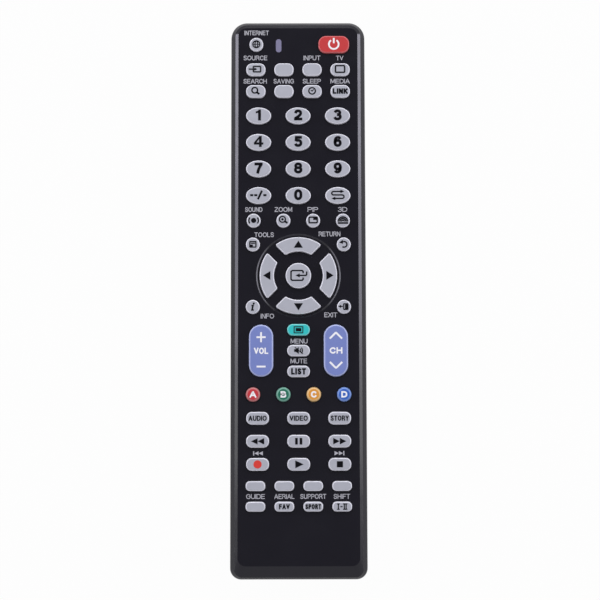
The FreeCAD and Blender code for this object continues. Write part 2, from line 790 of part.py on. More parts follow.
def bottom_shell():
    """The outer form of the bottom cover and the hollow inside it."""
    body = doc.addObject("PartDesign::Body", "bottom_shell")
    outer = ruled_loft(body, "bottom_form", [
        casing_section(body, "parting_outline", "parting_height", "0", "0", "0"),
        casing_section(body, "belly_outline", "belly_height", *["belly_inset"] * 3),
        casing_section(body, "back_outline", "0", *["back_inset"] * 3)])
    doc.recompute()
    belly = round_edges(body, "belly_fillet", outer, edges_at(outer, number("belly_height")), "belly_round")
    doc.recompute()
    round_edges(body, "back_fillet", belly, edges_at(belly, 0.0), "back_round")
    inner_corners = ("front_corner - wall", "rear_corner - wall")
    ruled_loft(body, "bottom_hollow", [
        casing_section(body, "hollow_parting", "parting_height", *["wall"] * 3, *inner_corners),
        casing_section(body, "hollow_belly", "wall + floor_run", *["belly_inset + wall"] * 3, *inner_corners),
        casing_section(body, "hollow_floor", "wall", *["back_inset + floor_inset"] * 3, *inner_corners)],
        "PartDesign::SubtractiveLoft")
    return body


def tongue_ring():
    """The tongue that stands on the bottom cover's rim, inside the top cover's rebate."""
    body = doc.addObject("PartDesign::Body", "tongue")
    for name, inset, kind in (("ring", "wall - tongue_thickness", "Pad"), ("bore", "wall", "Pocket")):
        corners = (f"front_corner - ({inset})", f"rear_corner - ({inset})")
        sketch = casing_section(body, f"tongue_{name}", "parting_height", *[inset] * 3, *corners)
        feature = body.newObject(f"PartDesign::{kind}", f"tongue_{name}_step")
        feature.Profile = sketch
        feature.Reversed = kind == "Pocket"
        bind(feature, "Length", "tongue_height")
    return body


def lens_form():
    """The bottom cover's outer form again, whole, to cut the infrared window from."""
    body = doc.addObject("PartDesign::Body", "lens_form")
    ruled_loft(body, "lens_loft", [
        casing_section(body, "lens_parting", "parting_height", "0", "0", "0"),
        casing_section(body, "lens_belly", "belly_height", *["belly_inset"] * 3)])
    return body


def dish():
    """The shallow round recess about the navigation keys, with a bevelled edge."""
    cone = doc.addObject("Part::Cone", "dish_cutter")
    bind(cone, "Radius1", "dish_radius - dish_bevel")
    bind(cone, "Radius2", "dish_radius + dish_bevel")
    bind(cone, "Height", "2 * dish_depth")
    return seat(cone, "0", "dish_centre", "face_height - dish_depth")


def pipe_body(name, grow, foot, top):
    """An upright bar of the indicator window's outline, grown all round."""
    body = doc.addObject("PartDesign::Body", name)
    sketch = sketch_in(body, f"{name}_outline", foot)
    draw_pill(sketch, grow, "pipe_width", "pipe_length", "pipe_flat")
    pad = body.newObject("PartDesign::Pad", f"{name}_pad")
    pad.Profile = sketch
    bind(pad, "Length", f"({top}) - ({foot})")
    return seat(body, "pipe_across", "pipe_row")


def top_cover():
    """The face with its key holes, bosses for the screws and ribs that hold the mat down."""
    solids = [top_shell()]
    pilots = []
    for index, (across, along) in enumerate(SCREWS):
        height = "roof_under + roof / 2 - boss_foot"
        solids.append(rod(f"boss_{index}", "boss_radius", across, along, "boss_foot", height))
        depth = "head_top + screw_length + pilot_room - boss_foot"
        pilots.append(rod(f"pilot_{index}", "pilot_radius", across, along, f"boss_foot - {PAST}",
                          f"{depth} + {PAST}"))
    for index, side in enumerate((-1, 1)):
        solids.append(block(f"hold_rib_{index}",
                            centred(f"{side} * (mat_side - hold_rib_margin)", "hold_rib_thickness"),
                            ("mat_rear + hold_rib_end", "mat_front - hold_rib_end"),
                            ("mat_top", "roof_under + roof / 4")))
    slot = pipe_body("pipe_slot", "pipe_gap", f"roof_under - {PAST}", f"face_height + {PAST}")
    tools = [gather("key_holes", PLACED["hole"]), dish(), slot, *pilots]
    return cut("top_cover", fuse("top_solids", solids), tools)


def bay_cutters():
    """The hollow for the cells, the door's recess, its tab slots, its latch slot and the strip slots."""
    across = centred("0", "bay_width")
    cutters = [
        block("bay_hollow", across, ("bay_rear", "bay_front"), (f"-{PAST}", "bay_ceiling")),
        block("door_recess", centred("0", "door_width + 2 * door_gap"),
              ("door_rear - door_gap", "door_front + door_gap"),
              (f"-{PAST}", "door_thickness + door_seat_gap")),
        block("latch_slot", centred("0", "latch_width + 2 * latch_gap"),
              ("latch_rear - latch_gap", "latch_front + latch_nose + latch_gap"),
              (f"-{PAST}", f"latch_height + {PAST}"))]
    for index, side in enumerate((-1, 1)):
        cutters.append(block(f"tab_slot_{index}",
                             centred(f"{side} * tab_across", "tab_width + 2 * tab_side_gap"),
                             ("door_rear - tab_reach - door_gap", "door_rear + tab_swing"),
                             ("tab_skin", f"pad_height + {PAST}")))
        cutters.append(block(f"strip_slot_{index}",
                             centred(f"{side} * cell_pitch / 2", "strip_width + 2 * strip_gap"),
                             (f"{FRONT_STRIP[0]} - strip_gap", "bay_front"),
                             (f"bay_ceiling - {PAST}", "board_foot")))
    return cutters


def bottom_cover():
    """The back with its battery bay, board rests, screw posts and the notch for the infrared window."""
    solids = [bottom_shell(), tongue_ring()]
    solids.append(block("bay_walls", centred("0", "bay_width + 2 * bay_wall"),
                        ("bay_rear - bay_wall", "bay_front + bay_wall"),
                        ("wall / 2", "bay_ceiling + bay_roof")))
    solids.append(block("bay_pad", centred("0", "door_width + 2 * door_gap + 2 * pad_margin"),
                        ("pad_rear", "pad_front"), ("wall / 2", "pad_height")))
    shafts = []
    for index, (across, along) in enumerate(SCREWS):
        height = "boss_foot - wall / 2"
        solids.append(rod(f"post_{index}", "post_radius", across, along, "wall / 2", height))
        shafts.append(rod(f"shaft_{index}", "screw_radius + shank_gap", across, along, f"-{PAST}",
                          f"boss_foot + 2 * {PAST}"))
        shafts.append(rod(f"head_bore_{index}", "head_radius + head_gap", across, along, f"-{PAST}",
                          f"head_top + {PAST}"))
    for side in (-1, 1):
        for step in (-1, 0, 1):
            across = f"{side} * (board_side - rest_inset)"
            along = f"{step} * rest_spacing"
            solids.append(block(f"rest_{side + 1}_{step + 1}", centred(across, "rest_thickness"),
                                centred(along, "rest_length"), ("rest_foot", "board_foot")))
    notch = block("lens_notch", centred("0", "lens_width + 2 * lens_gap"),
                  ("half_length - 2 * wall", f"half_length + {PAST}"),
                  ("lens_foot - lens_gap", f"parting_height + tongue_height + {PAST}"))
    return cut("bottom_cover", fuse("bottom_solids", solids), [notch, *shafts, *bay_cutters()])


def keypad_mat():
    """The rubber sheet under the keys, with a chamber for each key."""
    body = doc.addObject("PartDesign::Body", "mat_sheet")
    sketch = sketch_in(body, "mat_outline", "board_top")
    draw_rounded(sketch, "mat_side", "mat_front", "-mat_rear", "mat_corner", "mat_corner")
    pad = body.newObject("PartDesign::Pad", "mat_pad")
    pad.Profile = sketch
    bind(pad, "Length", "mat_thickness")
    passages = [rod("mat_boss_hole", "boss_radius + boss_gap", "0", "screw_front", "board_foot",
                    f"board_thickness + mat_thickness + {PAST}"),
                pipe_body("mat_pipe_hole", "pipe_mat_gap", "board_foot", f"mat_top + {PAST}")]
    return cut("keypad_mat", body, [*PLACED["chamber"], *passages])


def circuit_board():
    """The board, with a hole that the front boss passes through."""
    body = doc.addObject("PartDesign::Body", "board_blank")
    sketch = sketch_in(body, "board_outline", "board_foot")
    draw_rounded(sketch, "board_side", "board_front", "-board_rear", "front_corner - wall - board_side_gap",
                 "rear_corner - wall - board_side_gap")
    pad = body.newObject("PartDesign::Pad", "board_pad")
    pad.Profile = sketch
    bind(pad, "Length", "board_thickness")
    hole = rod("board_hole", "boss_radius + boss_gap", "0", "screw_front", f"board_foot - {PAST}",
               f"board_thickness + 2 * {PAST}")
    return cut("circuit_board", body, [hole])


def battery_door():
    """The door: a plate with a rounded hinge end, two tabs, a latch finger and grip grooves."""
    middle = "door_thickness / 2"
    plate = block("door_plate", centred("0", "door_width"), ("door_pivot", "door_front"),
                  ("0", "door_thickness"))
    barrel = rod("door_barrel", middle, "-door_width / 2", "door_pivot", middle, "door_width")
    barrel.Placement.Rotation = Rotation(Vector(0, 1, 0), 90)
    solids = [plate, barrel]
    for index, side in enumerate((-1, 1)):
        solids.append(block(f"door_tab_{index}", centred(f"{side} * tab_across", "tab_width"),
                            ("door_rear - tab_reach", "door_pivot"),
                            ("tab_skin + tab_gap", "tab_skin + tab_gap + tab_thickness")))
    solids.append(block("latch_finger", centred("0", "latch_width"), ("latch_rear", "latch_front"),
                        (middle, "latch_height")))
    solids.append(block("latch_tip", centred("0", "latch_width"), ("latch_rear", "latch_front + latch_nose"),
                        ("latch_height - latch_nose", "latch_height")))
    grooves = []
    for index in range(int(SIZES["grip_count"])):
        along = f"door_front - grip_back - {index} * grip_pitch"
        grooves.append(block(f"grip_{index}", centred("0", "grip_length"), centred(along, "grip_width"),
                             (f"-{PAST}", "grip_depth")))
    return cut("battery_door", fuse("door_solids", solids), grooves)


def infrared_window():
    """The smoked window that closes the notch in the front end, flush with the casing."""
    window = doc.addObject("Part::MultiCommon", "ir_window")
    window.Shapes = [lens_form(), block("lens_block", centred("0", "lens_width"),
                                        ("half_length - wall", f"half_length + {PAST}"),
                                        ("lens_foot", "parting_height"))]
    return window


def emitter():
    """The infrared emitter behind the window, with its two leads up to the board."""
    barrel = lying_rod("emitter_barrel", "emitter_radius", "0", "emitter_back", "emitter_height",
                       "emitter_length - emitter_radius")
    rim = lying_rod("emitter_rim", "collar_radius", "0", "emitter_back", "emitter_height", "collar_length")
    dome = doc.addObject("Part::Sphere", "emitter_dome")
    bind(dome, "Radius", "emitter_radius")
    seat(dome, "0", "emitter_tip - emitter_radius", "emitter_height")
    solids = [barrel, rim, dome]
    for index, side in enumerate((-1, 1)):
        solids.append(block(f"emitter_lead_{index}", centred(f"{side} * lead_pitch / 2", "lead_width"),
                            ("emitter_back - lead_width", "emitter_back + lead_width"),
                            ("emitter_height", "board_foot")))
    return fuse("ir_led", solids)


def indicator_window():
    """The light pipe in the face, with a flange that seats under the roof."""
    pipe = pipe_body("pipe_bar", "0", "board_top + lamp_height + lamp_gap", "face_height")
    flange = pipe_body("pipe_flange_bar", "pipe_flange", "roof_under - pipe_flange_height", "roof_under")
    return fuse("indicator_window", [pipe, flange])


def indicator_lamp():
    """The small lamp on the board under the light pipe."""
    return block("indicator_led", centred("pipe_across", "lamp_width"), centred("pipe_row", "lamp_length"),
                 ("board_top", "board_top + lamp_height"))


def controller_chip():
    """The controller under the board, with a row of legs along each side."""
    under = "board_foot - chip_height"
    solids = [block("chip_case", centred("chip_across", "chip_width"), centred("chip_along", "chip_length"),
                    (under, "board_foot - chip_standoff"))]
    count = int(SIZES["leg_count"])
    for side in (-1, 1):
        inner = f"chip_across + {side} * chip_width / 2"
        for index in range(count):
            along = f"chip_along + {spread(index, count, 'leg_pitch')}"
            bounds = (inner, f"{inner} + leg_reach") if side > 0 else (f"{inner} - leg_reach", inner)
            solids.append(block(f"leg_{side + 1}_{index}", bounds, centred(along, "leg_width"),
                                ("board_foot - leg_height", "board_foot")))
    return fuse("controller_chip", solids)


def resonator():
    """The resonator can that hangs under the board."""
    radius = "resonator_width / 2"
    foot = "board_foot - resonator_height"
    reach = "(resonator_length - resonator_width) / 2"
    solids = [block("can_middle", centred("resonator_across", f"2 * {reach}"),
                    centred("resonator_along", "resonator_width"), (foot, "board_foot"))]
    for index, side in enumerate((-1, 1)):
        across = f"resonator_across + {side} * {reach}"
        solids.append(rod(f"can_end_{index}", radius, across, "resonator_along", foot, "resonator_height"))
    return fuse("resonator", solids)


def capacitor():
    """The smoothing capacitor that hangs under the board, with a groove near its base."""
    foot = "board_foot - capacitor_height"
    can = rod("capacitor_can", "capacitor_radius", "capacitor_across", "capacitor_along", foot,
              "capacitor_height")
    groove = doc.addObject("Part::Torus", "capacitor_groove")
    bind(groove, "Radius1", "capacitor_radius + groove_radius - groove_depth")
    bind(groove, "Radius2", "groove_radius")
    seat(groove, "capacitor_across", "capacitor_along", "board_foot - groove_height")
    return cut("capacitor", can, [groove])


def transistor():
    """The driver transistor, a round case with one flat side."""
    foot = "board_foot - transistor_height"
    case = rod("transistor_case", "transistor_radius", "transistor_across", "transistor_along", foot,
               "transistor_height")
    flat = block("transistor_cut", centred("transistor_across", f"2 * (transistor_radius + {PAST})"),
                 ("transistor_along + transistor_flat", f"transistor_along + transistor_radius + {PAST}"),
                 (f"{foot} - {PAST}", f"board_foot + {PAST}"))
    return cut("driver_transistor", case, [flat])


def resistors():
    """A row of small resistors under the board."""
    chips = []
    for index in range(int(SIZES["resistor_count"])):
        chips.append(block(f"resistor_{index}", centred("resistor_across", "resistor_length"),
                           centred(f"resistor_along + {index} * resistor_pitch", "resistor_width"),
                           ("board_foot - resistor_height", "board_foot")))
    return gather("resistors", chips)


def coil(name, across, along, front):
    """A contact spring that stands on a strip and points along the bay."""
    body = doc.addObject("PartDesign::Body", name)
    sketch = sketch_in(body, f"{name}_wire", "0", "XZ_Plane")
    start = Vector(number("coil_radius"), number("wire_radius"), 0)
    sketch.addGeometry(Part.Circle(start, Vector(0, 0, 1), number("wire_radius")), False)
    measure(sketch, "DistanceX", (-1, 1, 0, 3), "reach", "coil_radius")
    measure(sketch, "DistanceY", (-1, 1, 0, 3), "lift", "wire_radius")
    measure(sketch, "Radius", (0,), "thick", "wire_radius")
    helix = body.newObject("PartDesign::AdditiveHelix", f"{name}_helix")
    helix.Profile = sketch
    helix.ReferenceAxis = (sketch, ["V_Axis"])
    helix.Mode = "pitch-turns-angle"
    bind(helix, "Pitch", "(spring_room - coil_gap - 2 * wire_radius) / coil_turns")
    bind(helix, "Turns", "coil_turns")
    body.Placement.Rotation = Rotation(Vector(1, 0, 0), 90 if front else -90)
    return seat(body, across, along, "cell_axis")


def plate_contact():
    """The positive contact at the front of the bay: a strip up to the board and a dimple."""
    across = "-cell_pitch / 2"
    strip = block("plate_strip", centred(across, "strip_width"), FRONT_STRIP, ("strip_foot", "board_foot"))
    dimple = lying_rod("plate_dimple", "dimple_radius", across, f"{FRONT_STRIP[0]} - dimple_height",
                       "cell_axis", "dimple_height + strip_thickness / 2")
    return fuse("plate_contact", [strip, dimple])


def spring_contact():
    """The negative contact at the front of the bay: a strip up to the board and a spring."""
    across = "cell_pitch / 2"
    strip = block("spring_strip", centred(across, "strip_width"), FRONT_STRIP, ("strip_foot", "board_foot"))
    return gather("spring_contact", [strip, coil("front_coil", across, FRONT_STRIP[0], True)])


def bridge_contact():
    """The strip at the rear of the bay that joins the two cells, with a spring and a dimple."""
    strip = block("bridge_strip", centred("0", "bay_width - 2 * strip_gap"), REAR_STRIP,
                  ("strip_foot", "bay_ceiling - strip_gap"))
    dimple = lying_rod("bridge_dimple", "dimple_radius", "cell_pitch / 2",
                       "bay_rear + strip_thickness / 2", "cell_axis", "dimple_height + strip_thickness / 2")
    plate = fuse("bridge_plate", [strip, dimple])
    return gather("bridge_contact", [plate, coil("rear_coil", "-cell_pitch / 2", REAR_STRIP[1], False)])


def cell(name, across, nub_end, forward):
    """A round cell along the bay, with its raised end at the given place."""
    flat_end = f"{nub_end} - cell_length" if forward else f"{nub_end} + cell_nub_height"
    nub_start = f"{nub_end} - cell_nub_height" if forward else nub_end
    can = lying_rod(f"{name}_can", "cell_radius", across, flat_end, "cell_axis",
                    "cell_length - cell_nub_height")
    nub = lying_rod(f"{name}_nub", "cell_nub_radius", across, nub_start, "cell_axis", "cell_nub_height")
    return fuse(name, [can, nub])


def battery_cells():
    """Two cells side by side, pointing opposite ways."""
    first = cell("left_cell", "-cell_pitch / 2", f"{FRONT_STRIP[0]} - dimple_height", True)
    second = cell("right_cell", "cell_pitch / 2", f"{REAR_STRIP[1]} + dimple_height", False)
    return gather("battery_cells", [first, second])


def case_screws():
    """The screws that hold the covers together, with crossed slots in their heads."""
    screws = []
    for index, (across, along) in enumerate(SCREWS):
        head = rod(f"screw_head_{index}", "head_radius", across, along, "head_depth", "head_height")
        shank = rod(f"screw_shank_{index}", "screw_radius", across, along, "head_top", "screw_length")
        slots = []
        for turn, (wide, deep) in enumerate((("slot_length", "slot_width"), ("slot_width", "slot_length"))):
            slots.append(block(f"screw_slot_{index}_{turn}", centred(across, wide), centred(along, deep),
                               (f"-{PAST}", "head_depth + slot_depth")))
        screws.append(cut(f"screw_{index}", fuse(f"screw_solid_{index}", [head, shank]), slots))
    return gather("case_screws", screws)


nodes["top_cover"] = top_cover()
nodes["bottom_cover"] = bottom_cover()
nodes["battery_door"] = battery_door()
nodes["keypad_mat"] = keypad_mat()
nodes["circuit_board"] = circuit_board()
nodes["ir_window"] = infrared_window()
nodes["ir_led"] = emitter()
nodes["indicator_window"] = indicator_window()
nodes["indicator_led"] = indicator_lamp()
nodes["controller_chip"] = controller_chip()
nodes["resonator"] = resonator()
nodes["capacitor"] = capacitor()
nodes["driver_transistor"] = transistor()
nodes["resistors"] = resistors()
nodes["plate_contact"] = plate_contact()
nodes["spring_contact"] = spring_contact()
nodes["bridge_contact"] = bridge_contact()
nodes["battery_cells"] = battery_cells()
nodes["case_screws"] = case_screws()
doc.recompute()

for item in doc.Objects:
    if "Invalid" in item.State or "Error" in item.State:
        raise RuntimeError(f"{item.Label} did not rebuild: {item.State}")
shapes = {}
for name, item in nodes.items():
    item.Label = name
    shapes[name] = item.Shape
    if shapes[name].isNull() or not shapes[name].isValid() or not shapes[name].Solids:
        raise RuntimeError(f"{name} has no sound solid")

os.makedirs("parts", exist_ok=True)
for name, shape in shapes.items():
    shape.exportStep(f"parts/{name}.step")
    box = shape.BoundBox
    spans = [f"{low:.2f} to {high:.2f}" for low, high in
             ((box.XMin, box.XMax), (box.YMin, box.YMax), (box.ZMin, box.ZMax))]
    print(f"{name}: {len(shape.Solids)} solids, {shape.Volume:.1f} mm3, {', '.join(spans)}")
print(f"{len(nodes)} nodes")
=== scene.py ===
"""The looks of a television remote control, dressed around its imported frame.

The remote's sizes are in millimetres and the studio's in metres. What is built is in metres, in the frame's
own axes: X across the casing, Y along it towards the infrared window, Z up through the keys.
"""

import json
import logging
import math
from collections.abc import Callable, Iterator
from contextlib import contextmanager
from dataclasses import dataclass, field
from enum import Enum

import bpy
from mathutils import Matrix, Vector


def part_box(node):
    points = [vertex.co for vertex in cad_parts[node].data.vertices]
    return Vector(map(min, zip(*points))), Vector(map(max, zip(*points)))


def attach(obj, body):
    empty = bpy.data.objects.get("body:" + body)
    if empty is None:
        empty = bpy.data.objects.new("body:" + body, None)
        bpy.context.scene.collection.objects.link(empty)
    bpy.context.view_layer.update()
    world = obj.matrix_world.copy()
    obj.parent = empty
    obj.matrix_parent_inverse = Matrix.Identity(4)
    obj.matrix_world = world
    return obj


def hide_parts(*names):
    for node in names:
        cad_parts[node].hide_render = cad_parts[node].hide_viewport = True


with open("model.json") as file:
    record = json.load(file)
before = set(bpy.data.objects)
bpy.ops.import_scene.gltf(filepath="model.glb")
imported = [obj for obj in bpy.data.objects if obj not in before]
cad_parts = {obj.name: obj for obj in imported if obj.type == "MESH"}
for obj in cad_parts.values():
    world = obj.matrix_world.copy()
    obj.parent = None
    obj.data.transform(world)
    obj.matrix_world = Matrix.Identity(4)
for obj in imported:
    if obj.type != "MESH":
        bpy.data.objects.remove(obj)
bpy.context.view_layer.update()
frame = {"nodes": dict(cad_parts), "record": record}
log = logging.getLogger("remote_control")

MM = 0.001
# Nearly all values of a noise texture lie between these
NOISE_LOW, NOISE_HIGH = 0.3, 0.7
LEAST_ROUGHNESS = 0.02
# How far a key's lip stands out, the round keys' diameter, and how many keys each row has and how long they
# are, as in the CAD
KEY_LIP = 0.5
DOT_DIAMETER = 5.1
ROWS = {"input_keys": (4, 7.15), "search_keys": (4, 7.15), "picture_keys": (4, DOT_DIAMETER),
        "audio_keys": (3, 8.25), "guide_keys": (4, 7.1), "favourite_keys": (4, 7.1)}
Point = tuple[float, float]
Tree = bpy.types.NodeTree
Socket = bpy.types.NodeSocket


def linear(code: str) -> tuple[float, float, float, float]:
    """Turns an sRGB hex colour into linear light.

    Args:
        code: the colour as "#rrggbb".

    Returns:
        Red, green, blue and a full alpha.
    """
    parts = [int(code[start:start + 2], 16) / 255 for start in (1, 3, 5)]
    return (*[part / 12.92 if part <= 0.04045 else ((part + 0.055) / 1.055) ** 2.4 for part in parts], 1.0)


def per_mm(spacing: float) -> float:
    """The texture scale that repeats about once in a spacing in millimetres."""
    return 1 / (spacing * MM)


def add_node(tree: Tree, kind: str, values: dict | None = None, **settings) -> bpy.types.Node:
    """Adds a shader node with its settings and links.

    Args:
        tree: the node tree that it goes in.
        kind: Blender's name for the type of node.
        values: what each socket gets, by name or place: a plain value, or another node's output.
        **settings: the node's own properties.

    Returns:
        The new node.
    """
    node = tree.nodes.new(kind)
    for name, value in settings.items():
        setattr(node, name, value)
    for socket, value in (values or {}).items():
        if isinstance(value, Socket):
            tree.links.new(value, node.inputs[socket])
        else:
            node.inputs[socket].default_value = value
    return node


def noise(tree: Tree, place: Socket, spacing: float, detail: float = 2.0) -> Socket:
    """Soft noise whose spots lie about a spacing in millimetres apart."""
    values = {"Vector": place, "Scale": per_mm(spacing), "Detail": detail}
    return add_node(tree, "ShaderNodeTexNoise", values).outputs["Fac"]


def blend(tree: Tree, share: Socket, first: object, second: object) -> Socket:
    """A colour that goes from the first to the second as the share goes from 0 to 1."""
    return add_node(tree, "ShaderNodeMix", {0: share, 6: first, 7: second}, data_type="RGBA").outputs[2]


def reckon(tree: Tree, operation: str, *values: object) -> Socket:
    """What Blender's maths node makes of one to three values."""
    return add_node(tree, "ShaderNodeMath", dict(enumerate(values)), operation=operation).outputs[0]


def reckon_vector(tree: Tree, operation: str, *values: object, gives: str = "Vector") -> Socket:
    """What Blender's vector maths node makes of one or two vectors: its "Vector" or its "Value"."""
    return add_node(tree, "ShaderNodeVectorMath", dict(enumerate(values)), operation=operation).outputs[gives]


def remap(tree: Tree, value: Socket, start: float, end: float, low: float = 0.0, high: float = 1.0) -> Socket:
    """A value that goes from low to high as another goes from start to end."""
    values = {"Value": value, "From Min": start, "From Max": end, "To Min": low, "To Max": high}
    return add_node(tree, "ShaderNodeMapRange", values).outputs["Result"]


def part_of(tree: Tree, place: Socket, axis: str) -> Socket:
    """A place's share along one axis."""
    return add_node(tree, "ShaderNodeSeparateXYZ", {0: place}).outputs[axis]


@dataclass(frozen=True)
class Finish:
    """A surface: its colour, its gloss and its relief, and how far each of them wanders.

    The spacings and the relief are in millimetres.
    """

    name: str
    colour: str
    roughness: float
    ior: float = 1.5
    metallic: float = 0.0
    transmission: float = 0.0
    coat: float = 0.0
    mottle: float = 0.08
    mottle_spacing: float = 14.0
    smudge: float = 0.05
    smudge_spacing: float = 9.0
    grain_spacing: float = 0.4
    relief: float = 0.002
    stretch: tuple[float, float, float] = (1.0, 1.0, 1.0)

    def shades(self, tree: Tree, place: Socket) -> Socket:
        """The colour all over the surface, wandering a little as moulded or rolled stock does."""
        red, green, blue, alpha = linear(self.colour)
        dark, pale = ((*[part * (1 + side * self.mottle) for part in (red, green, blue)], alpha)
                      for side in (-1, 1))
        return blend(tree, noise(tree, place, self.mottle_spacing, 3.0), dark, pale)

    def relieve(self, tree: Tree, place: Socket) -> Socket:
        """The height of the surface's fine grain."""
        return noise(tree, place, self.grain_spacing)

    def make(self) -> bpy.types.Material:
        """Builds the material, or returns it if it is there already."""
        found = bpy.data.materials.get(self.name)
        if found:
            return found
        material = bpy.data.materials.new(self.name)
        material.use_nodes = True
        tree = material.node_tree
        shader = tree.nodes["Principled BSDF"]
        own = add_node(tree, "ShaderNodeTexCoord").outputs["Object"]
        place = add_node(tree, "ShaderNodeMapping", {"Vector": own, "Scale": self.stretch}).outputs["Vector"]
        gloss = remap(tree, noise(tree, place, self.smudge_spacing, 4.0), NOISE_LOW, NOISE_HIGH,
                      max(self.roughness - self.smudge, LEAST_ROUGHNESS), self.roughness + self.smudge)
        bump = add_node(tree, "ShaderNodeBump",
                        {"Height": self.relieve(tree, place), "Distance": self.relief * MM, "Strength": 1.0})
        for socket, value in {"Base Color": self.shades(tree, own), "Roughness": gloss,
                              "Normal": bump.outputs["Normal"]}.items():
            tree.links.new(value, shader.inputs[socket])
        for socket, value in {"IOR": self.ior, "Metallic": self.metallic, "Coat Weight": self.coat,
                              "Transmission Weight": self.transmission}.items():
            shader.inputs[socket].default_value = value
        return material


@dataclass(frozen=True)
class HandledGloss(Finish):
    """Polished ABS that has been handled: hairline scratches run over the moulding's gloss.

    The edge of the dish round the navigation keys is painted paler, most at its left and right, as a painted
    reflection of the lamps: it shows from dish_gleam_start to either side of the dish's middle, and
    dish_gleam_reach to either side of dish_gleam_radius.
    """

    hairline_spacing: float = 1.6
    hairline_length: float = 40.0
    hairline_lean: float = 0.5
    hairline_depth: float = 0.6
    hairline_share: tuple[float, float] = (0.68, 0.72)
    # The painted reflection on the dish's edge: its colour, its radius, how far to either side of that radius
    # it reaches, and from where across it starts to show
    dish_gleam_colour: str = "#8a898f"
    dish_gleam_radius: float = 15.3
    dish_gleam_reach: float = 0.22
    dish_gleam_start: float = 10.5

    def shades(self, tree: Tree, place: Socket) -> Socket:
        """The moulding's black, with a painted reflection on the edge of the dish."""
        middle = top_of("select_key")
        off = reckon_vector(tree, "SUBTRACT", place, (middle.x, middle.y, 0))
        flat = reckon_vector(tree, "MULTIPLY", off, (1, 1, 0))
        reach = reckon_vector(tree, "LENGTH", flat, gives="Value")
        # Painted reflection: a thin ring at the dish's edge, paler towards its left and right
        near = reckon(tree, "COMPARE", reach, self.dish_gleam_radius * MM, self.dish_gleam_reach * MM)
        side = reckon(tree, "ABSOLUTE", part_of(tree, flat, "X"))
        painted_highlight_share = remap(tree, side, self.dish_gleam_start * MM, self.dish_gleam_radius * MM)
        return blend(tree, reckon(tree, "MULTIPLY", near, painted_highlight_share), super().shades(tree, place),
                     linear(self.dish_gleam_colour))

    def relieve(self, tree: Tree, place: Socket) -> Socket:
        """The polished mould's slight waviness, cut by hairlines."""
        turned = add_node(tree, "ShaderNodeMapping",
                          {"Vector": place, "Rotation": (0, 0, self.hairline_lean),
                           "Scale": (1.0, self.hairline_spacing / self.hairline_length, 1.0)})
        lines = noise(tree, turned.outputs["Vector"], self.hairline_spacing)
        cuts = remap(tree, lines, *self.hairline_share, 0.0, -self.hairline_depth)
        return reckon(tree, "ADD", super().relieve(tree, place), cuts)


@dataclass(frozen=True)
class CoatedRubber(Finish):
    """Silicone rubber with a sprayed satin coat, on a pill of black carbon; its rim is paler, a painted
    highlight.
    """

    # The painted highlight on the rim: its colour, how far under the top it starts and ends, and how strong
    # it is
    rim_highlight_colour: str = "#d8d8e0"
    rim_start: float = 0.005
    rim_depth: float = 0.08
    rim_highlight_strength: float = 0.9
    carbon: str = "#161616"
    carbon_top: float = 16.4

    def shades(self, tree: Tree, place: Socket) -> Socket:
        """The coat's colour, paler on the rim as a painted highlight, and black on the carbon pill
        underneath.
        """
        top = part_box("select_key")[1].z
        height = part_of(tree, place, "Z")
        # Painted highlight: from just under the key's top downwards, the coat fades towards the pale rim
        # colour, by height
        painted_highlight_share = remap(tree, height, top - self.rim_depth * MM, top - self.rim_start * MM, self.rim_highlight_strength, 0.0)
        coat = blend(tree, painted_highlight_share, super().shades(tree, place), linear(self.rim_highlight_colour))
        pill = reckon(tree, "LESS_THAN", height, self.carbon_top * MM)
        return blend(tree, pill, coat, linear(self.carbon))


@dataclass(frozen=True)
class BoardMask(Finish):
    """Solder mask over etched copper: pale tracks show through the green."""

    track_colour: str = "#3f8f55"
    track_pitch: float = 2.54
    track_gap: float = 0.7
    track_run: float = 4.0
    track_row: float = 0.5

    def shades(self, tree: Tree, place: Socket) -> Socket:
        """Green mask with the tracks as a staggered grid."""
        copper = linear(self.track_colour)
        tracks = add_node(tree, "ShaderNodeTexBrick",
                          {"Vector": place, "Scale": per_mm(self.track_pitch), "Color1": copper,
                           "Color2": copper, "Mortar": (0, 0, 0, 1),
                           "Mortar Size": self.track_gap / self.track_pitch / 2,
                           "Brick Width": self.track_run, "Row Height": self.track_row})
        return blend(tree, tracks.outputs["Fac"], copper, super().shades(tree, place))


@dataclass(frozen=True)
class CellWrap(Finish):
    """The printed shrink film round a battery cell, with a plain pale band at one end."""

    band_colour: str = "#c9ccd0"
    band_start: float = -38.0
    band_end: float = -31.5

    def shades(self, tree: Tree, place: Socket) -> Socket:
        """The film's colour with its band."""
        along = part_of(tree, place, "Y")
        band = reckon(tree, "MULTIPLY", reckon(tree, "GREATER_THAN", along, self.band_start * MM),
                      reckon(tree, "LESS_THAN", along, self.band_end * MM))
        return blend(tree, band, super().shades(tree, place), linear(self.band_colour))


# ABS from a polished mould: deep black, mirror-like with a faint waviness, and a painted reflection round the
# dish's edge
GLOSS_BLACK = HandledGloss("polished_black_abs", "#17161e", 0.16, grain_spacing=2.5, relief=0.0012)
# ABS from a spark-eroded mould: an even fine grain that breaks up the gloss, drawn coarse enough to show
GRAINED_BLACK = Finish("grained_black_abs", "#1d1c29", 0.42, grain_spacing=0.45, relief=0.02)
# Tinted polycarbonate that only infrared light passes: nearly black with a red cast, very glossy
SMOKED_LENS = Finish("smoked_polycarbonate", "#1a0508", 0.06, ior=1.58, transmission=0.25, coat=0.5,
                     smudge=0.02, grain_spacing=3.0, relief=0.0005)
# Diffusing acrylic: soft and slightly deep
MILK_ACRYLIC = Finish("milky_acrylic", "#817e9a", 0.22, ior=1.49, coat=0.3, mottle=0.05, relief=0.001)
